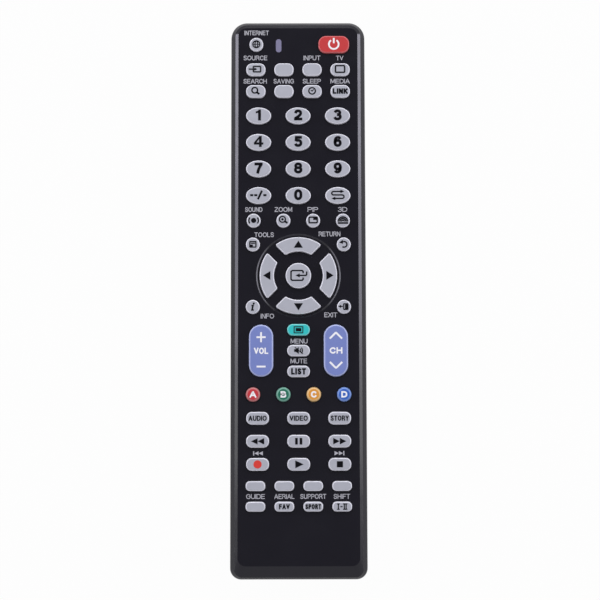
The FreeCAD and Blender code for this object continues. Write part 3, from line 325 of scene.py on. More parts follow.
# Cast epoxy round the emitter's chip: clear with a blue tint
CLEAR_EPOXY = Finish("cast_epoxy", "#8c8fc4", 0.08, ior=1.55, transmission=0.85, relief=0.0005)
# Silicone rubber sheet: matte and slightly dusty
MAT_RUBBER = Finish("silicone_rubber", "#3a3a3e", 0.75, ior=1.43, mottle=0.12, grain_spacing=0.8, relief=0.01)
# Transfer-moulded epoxy package: matte charcoal
CHIP_EPOXY = Finish("package_epoxy", "#151515", 0.6, ior=1.55, grain_spacing=0.35, relief=0.006)
# Drawn aluminium can: fine lines up its side
DRAWN_CAN = Finish("drawn_aluminium", "#b9bbc0", 0.3, metallic=1.0, grain_spacing=0.5, relief=0.004,
                   stretch=(1.0, 1.0, 0.05))
# Nickel-plated spring steel: bright with rolling lines
NICKEL_STEEL = Finish("nickel_plated_steel", "#c6c3bc", 0.24, metallic=1.0, grain_spacing=0.4, relief=0.003,
                      stretch=(1.0, 0.08, 1.0))
# Black zinc on steel: dark with a worn, uneven gloss
ZINC_STEEL = Finish("zinc_plated_steel", "#5a5a5e", 0.34, metallic=1.0, mottle=0.2, mottle_spacing=1.5,
                    grain_spacing=0.3, relief=0.004)
# Solder mask: a glossy green varnish
GREEN_MASK = BoardMask("solder_mask", "#1d5c34", 0.3, ior=1.55)
# Shrink film: smooth, with the metal can under it
CELL_FILM = CellWrap("cell_shrink_film", "#2b3f52", 0.28, ior=1.52, coat=0.4, grain_spacing=1.5)
# Bare cell ends: nickel-plated can
CELL_END = Finish("cell_can_steel", "#cfcfd2", 0.22, metallic=1.0, grain_spacing=0.6)
# Backdrop paper: matte and pale; its glow brings it up to white for the camera
PAPER = "#c2c2c0"


@dataclass(frozen=True)
class PrintedInk(Finish):
    """Screen-printing ink: matte, with a slightly uneven coat."""

    mottle: float = 0.1
    mottle_spacing: float = 1.5
    grain_spacing: float = 0.3


class Ink(Enum):
    """The inks on the keys and the face."""

    DARK = PrintedInk("dark_ink", "#08080f", 0.6, ior=1.2)
    WHITE = PrintedInk("white_ink", "#f2f2f4", 0.5, mottle=0.04)
    PALE = PrintedInk("pale_grey_ink", "#b4b4bb", 0.5, mottle_spacing=1.0)
    TEAL = PrintedInk("deep_teal_ink", "#0f4a4c", 0.5)
    RED = PrintedInk("red_ink", "#d8392f", 0.5, mottle=0.06)


class Tone(Enum):
    """The keys' coats, by the record's material slots."""

    # Each tone: its slot, the coat's colour, and the colour of the painted highlight on its rim
    GREY = ("key_grey", "#aeb0b9", "#eeeef6")
    POWER = ("key_power", "#c33739", "#dc7476")
    TEAL = ("key_teal", "#30c0c0", "#8cdedb")
    LAVENDER = ("key_lavender", "#7886c2", "#b4bde4")
    RED = ("key_red", "#c2323c", "#be7a7a")
    GREEN = ("key_green", "#1c7058", "#78ac9a")
    YELLOW = ("key_yellow", "#de983e", "#e6c086")
    BLUE = ("key_blue", "#3264c0", "#7c9ad8")

    @classmethod
    def finish_of(cls, slot: str) -> Finish:
        """The coat that the record's slot names."""
        tone = next(tone for tone in cls if tone.value[0] == slot)
        _, colour, rim = tone.value
        return CoatedRubber(slot.replace("key", "rubber"), colour, 0.42, ior=1.45, mottle=0.05,
                            mottle_spacing=3.0, grain_spacing=0.35, relief=0.004, rim_highlight_colour=rim)


def dress(node: str, finish: Finish) -> None:
    """Gives a CAD node a finish.

    Args:
        node: the node's name.
        finish: what its surface is.
    """
    piece = frame["nodes"][node]
    for index in range(len(piece.material_slots)):
        piece.material_slots[index].material = finish.make()
    if not piece.material_slots:
        piece.data.materials.append(finish.make())
    log.info("%s wears %s", node, finish.name)


def deselect() -> None:
    """Lets go of every object, so that the next operator acts on its own piece alone."""
    bpy.ops.object.select_all(action="DESELECT")


@contextmanager
def edit_mode() -> Iterator[None]:
    """Edits the active object's mesh, and goes back to object mode."""
    bpy.ops.object.mode_set(mode="EDIT")
    yield
    bpy.ops.object.mode_set(mode="OBJECT")


def select_faces(piece: bpy.types.Object, wanted: Callable[[bpy.types.MeshPolygon], bool]) -> None:
    """Selects faces of a piece in object mode.

    Args:
        piece: the mesh object, not in edit mode.
        wanted: says whether a face is to be selected.
    """
    with edit_mode():
        bpy.ops.mesh.select_mode(type="FACE")
        bpy.ops.mesh.select_all(action="DESELECT")
    for face in filter(wanted, piece.data.polygons):
        face.select = True


# A plain alphabet: each letter's width, and its strokes on a grid that is ten high. A stroke bends smoothly
# through a point marked "~", closes on itself where it ends in "o", and "|" lifts the pen.
LETTERS = {
    "A": (9, "0,0 4.2,10 4.8,10 9,0|~1.5,3.3 ~7.5,3.3"),
    "B": (7.8, "~4.4,5.3 ~6.4,6 ~7,7.7 ~6.4,9.3 4.4,10 0,10 0,0 4.5,0 ~7,0.7 ~7.8,2.7 ~7,4.6 4.4,5.3 0,5.3"),
    "C": (8.8, "~8.6,6.9 ~7.4,9.2 ~4.7,10 ~1.4,8.5 ~0.2,5 ~1.4,1.5 ~4.7,0 ~7.5,0.9 ~8.7,3.3"),
    "D": (8.4, "0,0 0,10 3.9,10 ~7.2,8.7 ~8.4,5 ~7.2,1.3 3.9,0 o"),
    "E": (7.1, "6.9,10 0,10 0,0 7.1,0|0,5.2 6.4,5.2"),
    "F": (6.7, "6.7,10 0,10 0,0|0,5.1 5.8,5.1"),
    "G": (9, "~8.5,7 ~7.2,9.3 ~4.7,10 ~1.4,8.5 ~0.2,5 ~1.4,1.5 ~4.7,0 ~7.3,0.8 8.9,2.2 8.9,5 ~5,5"),
    "H": (8, "0,0 0,10|8,0 8,10|0,5.2 8,5.2"),
    "I": (0, "0,0 0,10"),
    "K": (8.2, "0,0 0,10|7.8,10 ~0,3.4|~2.8,5.7 8.2,0"),
    "L": (6.4, "0,10 0,0 6.4,0"),
    "M": (9.6, "0,0 0,10 0.8,10 4.5,1.4 5.1,1.4 8.8,10 9.6,10 9.6,0"),
    "N": (8.2, "0,0 0,10 0.8,10 7.4,0 8.2,0 8.2,10"),
    "O": (9.6, "~4.8,10 ~1.4,8.6 ~0,5 ~1.4,1.4 ~4.8,0 ~8.2,1.4 ~9.6,5 ~8.2,8.6 o"),
    "P": (7.6, "0,0 0,10 4.6,10 ~6.9,9.2 ~7.6,7.3 ~6.9,5.4 4.6,4.7 0,4.7"),
    "R": (8.2, "0,0 0,10 4.8,10 ~7.1,9.3 ~7.7,7.5 ~6.9,5.8 4.8,5.1 0,5.1|~4.4,5.1 ~6.5,3.9 8.2,0"),
    "S": (7.6, "~7.3,7.3 ~6.3,9.4 ~3.9,10 ~1.5,9.4 ~0.6,7.5 ~1.6,5.8 ~6.1,4.4 ~7.5,2.5 ~6.5,0.6 ~3.9,0 "
               "~1.2,0.7 ~0.2,3"),
    "T": (8, "0,10 8,10|4,10 4,0"),
    "U": (8, "0,10 ~0,3.6 ~1.1,0.8 ~4,0 ~6.9,0.8 ~8,3.6 8,10"),
    "V": (8.8, "0,10 ~4.4,0|8.8,10 ~4.4,0|~3.5,0.4 ~5.3,0.4"),
    "X": (8, "0,0 8,10|0,10 8,0"),
    "Y": (8.4, "0,10 4.2,4.6 8.4,10|~4.2,4.6 4.2,0"),
    "Z": (7.8, "0.3,10 7.6,10 7.6,9.2 0,0.8 0,0 7.8,0"),
    "0": (6.8, "~3.4,10 ~1,8.8 ~0,5 ~1,1.2 ~3.4,0 ~5.8,1.2 ~6.8,5 ~5.8,8.8 o"),
    "2": (6.9, "~0.2,7.1 ~1.2,9.3 ~3.5,10 ~5.9,9.2 ~6.7,7.2 ~5.7,5.1 0.2,0.8 0.2,0 6.9,0"),
    "3": (6.8, "~0.3,7.9 ~1.4,9.5 ~3.4,10 ~5.7,9.2 ~6.3,7.5 ~5.4,5.9 ~2.7,5.4|"
               "~2.7,5.2 ~5.7,4.7 ~6.8,2.8 ~5.7,0.7 ~3.3,0 ~1,0.6 ~0,2.4"),
    "5": (6.8, "6.3,10 1.2,10 ~0.8,5.2|~0.9,5.2 ~1.9,6.1 ~3.6,6.4 ~5.9,5.5 ~6.8,3.2 ~5.8,0.8 ~3.3,0 ~1.1,0.6 "
               "~0.1,2.3"),
    "6": (6.8, "~6.5,8 ~5.4,9.6 ~3.6,10 ~1.2,8.7 ~0.1,5 ~0.2,2.7 ~1.3,0.7 ~3.5,0 ~5.9,0.9 ~6.7,3.2 ~5.8,5.4 "
               "~3.6,6.2 ~1.4,5.4 ~0.1,3.6"),
    "7": (6.8, "0,10 6.8,10 6.8,9.2 ~4.2,5.2 2.6,0"),
    "8": (7, "~3.5,10 ~1.1,9.3 ~0.4,7.6 ~1.2,6 ~3.5,5.4 ~5.8,6 ~6.6,7.6 ~5.9,9.3 o|"
             "~3.5,5.4 ~0.9,4.7 ~0,2.7 ~1,0.8 ~3.5,0 ~6,0.8 ~7,2.7 ~6.1,4.7 o"),
    "9": (6.8, "~0.3,2 ~1.4,0.4 ~3.2,0 ~5.6,1.3 ~6.7,5 ~6.6,7.3 ~5.5,9.3 ~3.3,10 ~0.9,9.1 ~0.1,6.8 ~1,4.6 "
               "~3.2,3.8 ~5.4,4.6 ~6.7,6.4")}
LETTER_GRID = 10.0
LETTER_GAP = 0.08

# The signs, in millimetres about their own zero, by the name of their key or place. A mark is its kind and
# what that takes: bar (from, to, width), box (low, high), disc (centre, radius), frame (low, high, corner,
# width), line (width, points), ring (centre, radius, width, start, sweep, squeeze), shape (corners) and word
# (text, width, height, pen's width, rise).
SIGNS = {
    # Digits, a one without a foot and a four with a closed, slanting side
    "one_key": "shape -0.2,-1.85 0.85,-1.85 0.85,2.25 0.1,2.25 -0.2,1.8; "
               "shape -1.05,0.8 -0.2,1 0,1.3 0.1,2.25 -0.35,1.75 -1.05,1.5",
    "two_key": "word 2 3.1 4.1 1.04 0.2",
    "three_key": "word 3 3.1 4.1 1.04 0.2",
    "four_key": "box 0.15,-1.85 1.15,2.25; box -1.75,-0.95 1.75,-0.15; "
                "shape -1.75,-0.2 -0.8,-0.2 0.65,1.75 0.3,2.25",
    "five_key": "word 5 3.1 4.1 1.04 0.2",
    "six_key": "word 6 3.05 4.1 1.04 0.2",
    "seven_key": "word 7 3 4.1 1.04 0.2",
    "eight_key": "word 8 3.1 4.1 1.04 0.2",
    "nine_key": "word 9 3.05 4.1 1.04 0.2",
    "zero_key": "word 0 3 4.1 1.04 0.2",
    # Two dashes, a stroke and a dash, for numbers of two digits
    "dash_key": "bar -3.1,0.05 -1.95,0.05 0.75; bar -1.6,0.05 -0.45,0.05 0.75; bar 1.75,0.05 2.9,0.05 0.75; "
                "bar -0.25,-1.5 1.25,1.75 0.72",
    # A line that loops back on itself, with an arrowhead at each end
    "swap_key": "bar -1.6,1.4 1.2,1.4 0.52; ring -1.6,0.75 0.65 0.52 90 180; bar -1.6,0.1 1.6,0.1 0.52; "
                "ring 1.6,-0.55 0.65 0.52 -90 180; bar 1.6,-1.2 -1.2,-1.2 0.52; "
                "shape 0.95,0.75 2.35,1.4 0.95,2.05; shape -0.95,-0.55 -2.35,-1.2 -0.95,-1.85",
    # The standby sign: a broken ring and a stroke
    "power_key": "ring 0,0 1.8 0.64 125 290; bar 0,0.35 0,2.4 0.66",
    # A globe with its meridian and equator
    "internet_key": "ring 0,0 1.3 0.45; ring 0,0 1.2 0.4 0 360 0.42; bar -1.3,0 1.3,0 0.3",
    # Triangles that point the way their keys move things, and a line that runs into an open frame
    "up_key": "shape -1.65,-0.75 1.65,-0.75 0,1.9",
    "left_key": "shape 0.75,-1.65 0.75,1.65 -1.9,0",
    "down_key": "shape 1.65,0.75 -1.65,0.75 0,-1.9",
    "right_key": "shape -0.75,1.65 -0.75,-1.65 1.9,0",
    "select_key": "line 0.54 1.75,0.8 1.75,1.45 1.4,1.8 -2.3,1.8 -2.7,1.4 -2.7,-1.4 -2.3,-1.8 1.4,-1.8 "
                  "1.75,-1.45 1.75,-0.8; line 0.54 0.2,0 2.75,0 3.05,0.3 3.05,1.45; "
                  "shape -1.05,0 0.5,-0.75 0.5,0.75",
    # A frame, and the picture that the dark ink fills in
    "menu_key": "frame -1.8,-1.35 1.8,1.35 0.3 0.45",
    "menu_key_picture": "box -1,-0.62 1,0.62",
    # A crossed-out loudspeaker
    "mute_key": "box -1.6,-0.5 -0.9,0.5; shape -0.95,-0.5 0.1,-1.25 0.1,1.25 -0.95,0.5; "
                "ring 0.1,0 0.75 0.36 -55 110; ring 0.1,0 1.35 0.36 -50 100; bar -1.35,1.2 1.6,-1.2 0.34",
    "list_key": "word LIST 5.4 2.3 0.6",
    "red_key": "word A 2.5 2.35 0.58",
    "green_key": "word B 2.1 2.35 0.58",
    "yellow_key": "word C 2.2 2.35 0.58",
    "blue_key": "word D 2.2 2.35 0.58",
    # A word between a plus and a minus, and one between two chevrons
    "volume_key": "bar -1.7,4.9 1.7,4.9 0.66; bar 0,3.05 0,6.75 0.66; word VOL 5.2 2.3 0.5 -0.1; "
                  "bar -1.65,-5.85 1.65,-5.85 0.66",
    "channel_key": "line 0.68 -2.25,4.35 -0.15,6.45 0.15,6.45 2.25,4.35; word CH 4.7 2.3 0.55; "
                   "line 0.68 -2.25,-4.2 -0.15,-6.3 0.15,-6.3 2.25,-4.2",
    # The signs of the deck's keys, and beside them two triangles that run against a bar
    "rewind_key": "shape 2.4,1.15 0,0 2.4,-1.15; shape 0,1.15 -2.4,0 0,-1.15",
    "pause_key": "bar -0.82,-1.2 -0.82,1.2 0.95; bar 0.82,-1.2 0.82,1.2 0.95",
    "forward_key": "shape -2.4,-1.15 0,0 -2.4,1.15; shape 0,-1.15 2.4,0 0,1.15",
    "record_key": "disc 0,0 1.48",
    "play_key": "shape -1.25,-1.4 1.75,0 -1.25,1.4",
    "stop_key": "box -1.1,-1.1 1.1,1.1",
    "label_skip_back": "shape 1.9,0.75 0.4,0 1.9,-0.75; shape 0.35,0.75 -1.15,0 0.35,-0.75; "
                       "bar -1.45,-0.8 -1.45,0.8 0.4",
    "label_skip_on": "shape -1.9,-0.75 -0.4,0 -1.9,0.75; shape -0.35,-0.75 1.15,0 -0.35,0.75; "
                     "bar 1.45,-0.8 1.45,0.8 0.4",
    # An arrow into a rounded frame, and a screen's outline
    "input_keys_0": "frame -1.2,-1.2 2.05,1.4 0.55 0.52; bar -2.65,0.1 -0.2,0.1 0.52; "
                    "shape -0.55,-0.5 0.55,0.1 -0.55,0.7",
    "input_keys_3": "frame -2,-1.4 1.95,1.65 0.6 0.55",
    # A magnifying glass, a clock face and a plain word
    "search_keys_0": "ring -0.4,0.35 1.05 0.55; bar 0.25,-0.35 1.3,-1.1 0.75",
    "search_keys_2": "ring 0,0.1 1.22 0.5; line 0.38 -0.45,0.35 0,0 0.6,0.7",
    "search_keys_3": "word LINK 5.6 2.05 0.6",
    # A dot between two arcs, a glass over a dot, a small picture in a larger one, and rounds under a dome
    "picture_keys_0": "disc 0,0 0.95; ring 0,0 1.75 0.5 -38 76; ring 0,0 1.75 0.5 142 76",
    "picture_keys_1": "ring -0.35,0.4 1.1 0.5; disc -0.35,0.4 0.45; bar 0.4,-0.3 1.5,-0.95 0.75",
    "picture_keys_2": "frame -1.75,-1.15 1.75,1.45 0.55 0.52; box 0,0.15 1.6,1.3",
    "picture_keys_3": "ring 0,-0.45 0.5 0.52 0 180; ring 0,-0.45 1.12 0.52 0 180; "
                      "ring 0,-0.45 1.72 0.52 0 180; bar -1.95,-1 1.95,-1 0.62",
    "audio_keys_0": "word AUDIO 6.6 1.9 0.4",
    "audio_keys_1": "word VIDEO 6.6 1.9 0.4",
    "audio_keys_2": "word STORY 6.6 1.9 0.4",
    # Two words, then one or two: an upright with feet, a dash, and two uprights that share theirs
    "favourite_keys_1": "word FAV 3.9 1.85 0.46",
    "favourite_keys_2": "word SPORT 5.7 1.85 0.44",
    "favourite_keys_3": "bar -1.4,-0.95 -1.4,0.95 0.42; bar 0.75,-0.95 0.75,0.95 0.42; "
                        "bar 1.4,-0.95 1.4,0.95 0.42; bar -1.85,-0.95 -0.95,-0.95 0.36; "
                        "bar 0.3,-0.95 1.85,-0.95 0.36; bar -1.85,0.95 -0.95,0.95 0.36; "
                        "bar 0.3,0.95 1.85,0.95 0.36; bar -0.65,0 0.1,0 0.4",
    # A page with lines and a marked box, an arrow that turns back, a leaning i, an arrow out of a doorway
    "corner_tools": "frame -1.35,-1.25 1.35,1.25 0.35 0.46; bar -0.75,0.4 0.8,0.4 0.42; "
                    "box -0.95,-0.9 0,-0.1",
    "corner_return": "ring 0.1,-0.05 1.05 0.52 -125 260; shape -1.75,0.55 -0.3,0.15 -0.35,1.65",
    "corner_info": "line 0.6 -0.5,0.45 0.1,0.45 -0.3,-1.15 0.35,-1.15; disc 0.35,1.2 0.38",
    "corner_exit": "frame -0.35,-1.25 1.6,1.25 0.4 0.42; shape 0.3,-1.3 1.2,-0.9 1.2,0.95 0.3,0.75; "
                   "bar -1.7,0.1 -0.45,0.1 0.42; shape -2.1,0.1 -1.15,-0.5 -1.15,0.7",
    "door_arrow": "shape -2.6,-1.4 2.6,-1.4 0,1.6"}

# The words on the face: what each says, the key or keys that it belongs to and how wide it is, then how far
# across and along from their middle it lies, in millimetres
LABELS = (
    ("INTERNET", "internet_key", 9.1, 0.1, 4.65), ("SOURCE", "input_keys_0", 8.9, -0.2, 4.65),
    ("INPUT", "input_keys_2", 6.3, 0.0, 4.65), ("TV", "input_keys_3", 2.7, -0.1, 4.6),
    ("SEARCH", "search_keys_0", 8.7, -0.3, 4.05), ("SAVING", "search_keys_1", 7.6, -0.1, 4.05),
    ("SLEEP", "search_keys_2", 6.8, -0.1, 4.05), ("MEDIA", "search_keys_3", 7.2, 0.0, 4.05),
    ("SOUND", "picture_keys_0", 6.4, 0.0, 4.25), ("ZOOM", "picture_keys_1", 6.5, 0.0, 4.25),
    ("PIP", "picture_keys_2", 3.9, -0.1, 4.25), ("3D", "picture_keys_3", 3.5, -0.1, 4.25),
    ("TOOLS", "corner_keys", 7.2, -12.6, 15.25), ("RETURN", "corner_keys", 8.0, 11.5, 15.5),
    ("INFO", "corner_keys", 4.9, -11.4, -14.85), ("EXIT", "corner_keys", 4.75, 11.85, -14.45),
    ("MENU", "menu_key", 6.2, 0.2, -4.1), ("MUTE", "mute_key", 6.1, 0.1, -3.75),
    ("GUIDE", "guide_keys_0", 6.8, 0.0, -3.75), ("AERIAL", "guide_keys_1", 7.3, 0.0, -3.75),
    ("SUPPORT", "guide_keys_2", 9.4, 0.0, -3.75), ("SHIFT", "guide_keys_3", 6.0, -0.1, -3.75))


def number(written: str) -> float | Point:
    """A number, or a point where there is a comma."""
    parts = tuple(float(part) for part in written.split(","))
    return parts if len(parts) > 1 else parts[0]


@dataclass
class Stencil:
    """Flat marks drawn in millimetres about one spot, which become one printed piece.

    Each stroke lies a hair above the one before it, so that no two tops share one plane.
    """

    name: str
    spot: Vector
    ink: Ink
    facing_down: bool = False
    proud: float = 0.03
    sunk: float = 0.02
    step: float = 0.002
    curve_steps: int = 6
    arc_step: float = 9.0
    disc_sides: int = 36
    merge_reach: float = 1e-4
    marks: list[bpy.types.Object] = field(default_factory=list)

    def keep(self, modifier: bpy.types.Modifier) -> None:
        """Applies the modifier that makes the newest mark solid, and counts the mark."""
        bpy.ops.object.modifier_apply(modifier=modifier.name)
        mark = bpy.context.object
        mark.location.z = self.step * len(self.marks)
        bpy.ops.object.transform_apply(location=True, rotation=True, scale=True)
        self.marks.append(mark)

    def fill(self) -> None:
        """Makes the newest flat mark solid, from below the surface to just above it."""
        coat = bpy.context.object.modifiers.new("coat", "SOLIDIFY")
        coat.thickness = self.proud + self.sunk
        coat.offset = 1.0
        self.keep(coat)

    def trace(self, strokes: str, weight: float, at: Point = (0.0, 0.0), scale: Point = (1.0, 1.0),
              reach: float = 0.0) -> None:
        """Draws strokes with a flat pen.

        Args:
            strokes: their points, written as in the alphabet.
            weight: how wide the pen is.
            at: where the strokes' own zero lies.
            scale: how much they are stretched across and up, the pen's width left as it is.
            reach: how far an end without "~" runs on past its point.
        """
        deselect()
        bpy.ops.curve.primitive_bezier_curve_add()
        line = bpy.context.object
        line.data.splines.clear()
        for layer, stroke in enumerate(strokes.split("|")):
            spots = stroke.split()
            spline = line.data.splines.new("BEZIER")
            spline.resolution_u = self.curve_steps
            spline.use_cyclic_u = spots[-1] == "o"
            if spline.use_cyclic_u:
                spots.pop()
            spline.bezier_points.add(len(spots) - 1)
            for point, spot in zip(spline.bezier_points, spots):
                across, up = (float(part) for part in spot.lstrip("~").split(","))
                point.co = (at[0] + across * scale[0], at[1] + up * scale[1], layer * self.step)
                point.handle_left_type = point.handle_right_type = "AUTO" if spot[0] == "~" else "VECTOR"
            for end, inner in ((0, 1), (-1, -2)):
                if reach and spots[end][0] != "~" and not spline.use_cyclic_u:
                    tip, behind = spline.bezier_points[end], spline.bezier_points[inner]
                    tip.co += (tip.co - behind.co).normalized() * reach
        bpy.ops.object.convert(target="MESH")
        wall = bpy.context.object
        with edit_mode():
            bpy.ops.mesh.select_mode(type="EDGE")
            bpy.ops.mesh.select_all(action="SELECT")
            bpy.ops.mesh.remove_doubles(threshold=self.merge_reach)
            bpy.ops.mesh.extrude_region_move(
                TRANSFORM_OT_translate={"value": (0, 0, self.proud + self.sunk)})
        pen = wall.modifiers.new("pen", "SOLIDIFY")
        pen.thickness = weight
        pen.offset = 0.0
        pen.use_even_offset = True
        self.keep(pen)

    def draw(self, marks: str) -> None:
        """Draws marks that are written as in the table of signs, with "; " between them."""
        kinds = {"bar": self.bar, "box": self.block, "disc": self.disc, "frame": self.outline,
                 "line": self.stroke, "ring": self.ring, "shape": self.polygon, "word": self.words}
        for mark in marks.split("; "):
            kind, first, *rest = mark.split()
            kinds[kind](first if kind == "word" else number(first), *map(number, rest))

    def bar(self, start: Point, end: Point, weight: float) -> None:
        """A straight stroke from one point to another, with its width."""
        self.stroke(weight, start, end)

    def stroke(self, weight: float, *points: Point, closed: bool = False) -> None:
        """A bent line.

        Args:
            weight: its width.
            *points: its corners and ends in order.
            closed: whether it runs on from its last point to its first.
        """
        self.trace(" ".join(f"{x:.3f},{y:.3f}" for x, y in points) + " o" * closed, weight)

    def ring(self, centre: Point, radius: float, weight: float, start: float = 0.0, sweep: float = 360.0,
             squeeze: float = 1.0) -> None:
        """A round stroke, or a part of one.

        Args:
            centre: the middle of the round.
            radius: from there to the stroke's middle line.
            weight: the stroke's width.
            start: where it starts, in degrees from +X.
            sweep: how far it runs, anticlockwise.
            squeeze: the round's width over its height.
        """
        steps = round(sweep / self.arc_step)
        whole = sweep >= 360.0
        turns = [math.radians(start + sweep * index / steps) for index in range(steps + (not whole))]
        self.stroke(weight, *((centre[0] + radius * squeeze * math.cos(turn),
                               centre[1] + radius * math.sin(turn)) for turn in turns), closed=whole)

    def disc(self, centre: Point, radius: float) -> None:
        """A filled round about a centre."""
        deselect()
        bpy.ops.mesh.primitive_circle_add(vertices=self.disc_sides, radius=radius, fill_type="NGON",
                                          location=(*centre, 0))
        self.fill()

    def polygon(self, *corners: Point) -> None:
        """A filled shape with its corners, anticlockwise."""
        deselect()
        bpy.ops.mesh.primitive_circle_add(vertices=len(corners), radius=1, fill_type="NGON")
        for vertex, corner in zip(bpy.context.object.data.vertices, corners):
            vertex.co = (*corner, 0)
        self.fill()

    def block(self, low: Point, high: Point) -> None:
        """A filled rectangle between its lower left and its upper right corner."""
        self.polygon(low, (high[0], low[1]), high, (low[0], high[1]))

    def outline(self, low: Point, high: Point, corner: float, weight: float) -> None:
        """A rounded rectangle's outline.

        Args:
            low: its lower left corner, at the outside of the line.
            high: its upper right corner.
            corner: its corners' outer radius.
            weight: the line's width.
        """
        reach = corner - weight / 2
        turns = [(high[0] - corner, high[1] - corner, 0), (low[0] + corner, high[1] - corner, 90),
                 (low[0] + corner, low[1] + corner, 180), (high[0] - corner, low[1] + corner, 270)]
        points = []
        for x, y, start in turns:
            for lean in (0, 22.5, 45, 67.5, 90):
                turn = math.radians(start + lean)
                points.append((x + reach * math.cos(turn), y + reach * math.sin(turn)))
        self.stroke(weight, *points, closed=True)

    def words(self, text: str, width: float, height: float, weight: float, rise: float = 0.0) -> None:
        """Lettering, fitted to its width and height.

        Args:
            text: what it says.
            width: from its left edge to its right edge.
            height: from its foot to its top.
            weight: how wide its strokes are.
            rise: how far its middle is above the spot.
        """
        gap = weight + LETTER_GAP * height
        run = sum(LETTERS[letter][0] for letter in text)
        scale = ((width - weight - gap * (len(text) - 1)) / run, (height - weight) / LETTER_GRID)
        pen = (weight - width) / 2
        for letter in text:
            advance, strokes = LETTERS[letter]
            self.trace(strokes, weight, (pen, rise - LETTER_GRID / 2 * scale[1]), scale, reach=weight / 2)
            pen += advance * scale[0] + gap

    def lay(self, body: str) -> None:
        """Joins the marks into one thin piece on its spot, and lets it ride.

        Args:
            body: the CAD body that it rides on.
        """
        deselect()
        for mark in self.marks:
            mark.select_set(True)
        bpy.context.view_layer.objects.active = self.marks[0]
        if len(self.marks) > 1:
            bpy.ops.object.join()
        with edit_mode():
            bpy.ops.mesh.select_all(action="SELECT")
            bpy.ops.mesh.normals_make_consistent(inside=False)
        piece = bpy.context.object
        turn = Matrix.Rotation(math.pi, 4, "Y") if self.facing_down else Matrix.Identity(4)
        piece.data.transform(Matrix.Translation(self.spot) @ turn @ Matrix.Scale(MM, 4)
                             @ Matrix.Translation((0, 0, -self.sunk)))
        piece.name = piece.data.name = self.name
        piece.data.materials.clear()
        piece.data.materials.append(self.ink.value.make())
        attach(piece, body)
        log.info("%s, printed, rides on %s", self.name, body)


def top_of(node: str) -> Vector:
    """The middle of a CAD node's top, in metres."""
    low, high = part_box(node)
    return Vector(((low.x + high.x) / 2, (low.y + high.y) / 2, high.z))


def key_places() -> dict[str, tuple[str, Vector]]:
    """Each key's CAD node and the middle of its top, in metres, by the key's name in the tables.

    A key of a row is named after the row's node and its number from the left, and a key at a corner of the
    navigation pad after its sign.
    """
    places = {node: (node, top_of(node)) for node in frame["nodes"] if "_key" in node}
    for node, (count, length) in ROWS.items():
        low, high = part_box(node)
        pitch = (high.x - low.x - (length + 2 * KEY_LIP) * MM) / (count - 1)
        for index in range(count):
            aside = Vector(((index - (count - 1) / 2) * pitch, 0, 0))
            places[f"{node}_{index}"] = (node, top_of(node) + aside)
    low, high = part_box("corner_keys")
    reach = (DOT_DIAMETER / 2 + KEY_LIP) * MM
    left, right, rear, front = low.x + reach, high.x - reach, low.y + reach, high.y - reach
    for sign, across, along in (("tools", left, front), ("return", right, front), ("info", left, rear),
                                ("exit", right, rear)):
        places[f"corner_{sign}"] = ("corner_keys", Vector((across, along, high.z)))
    return places


def print_sign(sign: str, name: str, spot: Vector, ink: Ink, body: str, facing_down: bool = False) -> None:
    """Prints a sign as one thin piece.

    Args:
        sign: its name in the table.
        name: the piece's name.
        spot: where the sign's own zero lies, in metres.
        ink: what it is printed with.
        body: the CAD body that it rides on.
        facing_down: whether it is read from below.
    """
    mark = Stencil(name, spot, ink, facing_down)
    mark.draw(SIGNS[sign])
    mark.lay(body)


@dataclass
class Legends:
    """What is printed on the keys: dark, but for the keys in the list of inks."""

    inks: dict[str, Ink] = field(default_factory=lambda: {
        "power_key": Ink.WHITE, "volume_key": Ink.WHITE, "channel_key": Ink.WHITE, "red_key": Ink.WHITE,
        "green_key": Ink.WHITE, "yellow_key": Ink.WHITE, "blue_key": Ink.WHITE, "menu_key": Ink.TEAL,
        "record_key": Ink.RED})

    def build(self) -> None:
        """Prints each key that has a sign, and the picture inside the menu key's frame."""
        for name, (node, spot) in key_places().items():
            if name in SIGNS:
                print_sign(name, f"{name}_print", spot, self.inks.get(name, Ink.DARK), node)
        print_sign("menu_key_picture", "menu_key_picture", top_of("menu_key"), Ink.DARK, "menu_key")


@dataclass
class FacePrint:
    """The words and small signs on the face around the keys."""

    cap_height: float = 1.75
    weight: float = 0.26
    skip_rise: float = 4.0

    def build(self) -> None:
        """Prints the words, and the two skip signs over their keys."""
        face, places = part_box("top_cover")[1].z, key_places()
        for text, key, width, across, along in LABELS:
            middle = places[key][1]
            spot = Vector((middle.x + across * MM, middle.y + along * MM, face))
            mark = Stencil(f"label_{text.lower()}", spot, Ink.PALE)
            mark.words(text, width, self.cap_height, self.weight)
            mark.lay("casing")
        for name, key in (("label_skip_back", "record_key"), ("label_skip_on", "stop_key")):
            middle = places[key][1]
            spot = Vector((middle.x, middle.y + self.skip_rise * MM, face))
            print_sign(name, name, spot, Ink.PALE, "casing")


@dataclass
class DressedParts:
    """CAD nodes that keep their shapes and only get their finishes."""

    finishes: dict[str, Finish]

    def build(self) -> None:
        """Dresses each node."""
        for node, finish in self.finishes.items():
            dress(node, finish)


@dataclass
class Casing(DressedParts):
    """The two covers, the windows in them and the screws."""

    finishes: dict[str, Finish] = field(default_factory=lambda: {
        "top_cover": GLOSS_BLACK, "bottom_cover": GRAINED_BLACK, "ir_window": SMOKED_LENS,
        "indicator_window": MILK_ACRYLIC, "indicator_led": MILK_ACRYLIC, "case_screws": ZINC_STEEL})


@dataclass
class Keypad:
    """The keys and the rubber mat under them."""

    def build(self) -> None:
        """Dresses each key in the coat that the record names for it."""
        for part in frame["record"]["subparts"]:
            if part["material_slot"].startswith("key_"):
                dress(part["node"], Tone.finish_of(part["material_slot"]))
        dress("keypad_mat", MAT_RUBBER)


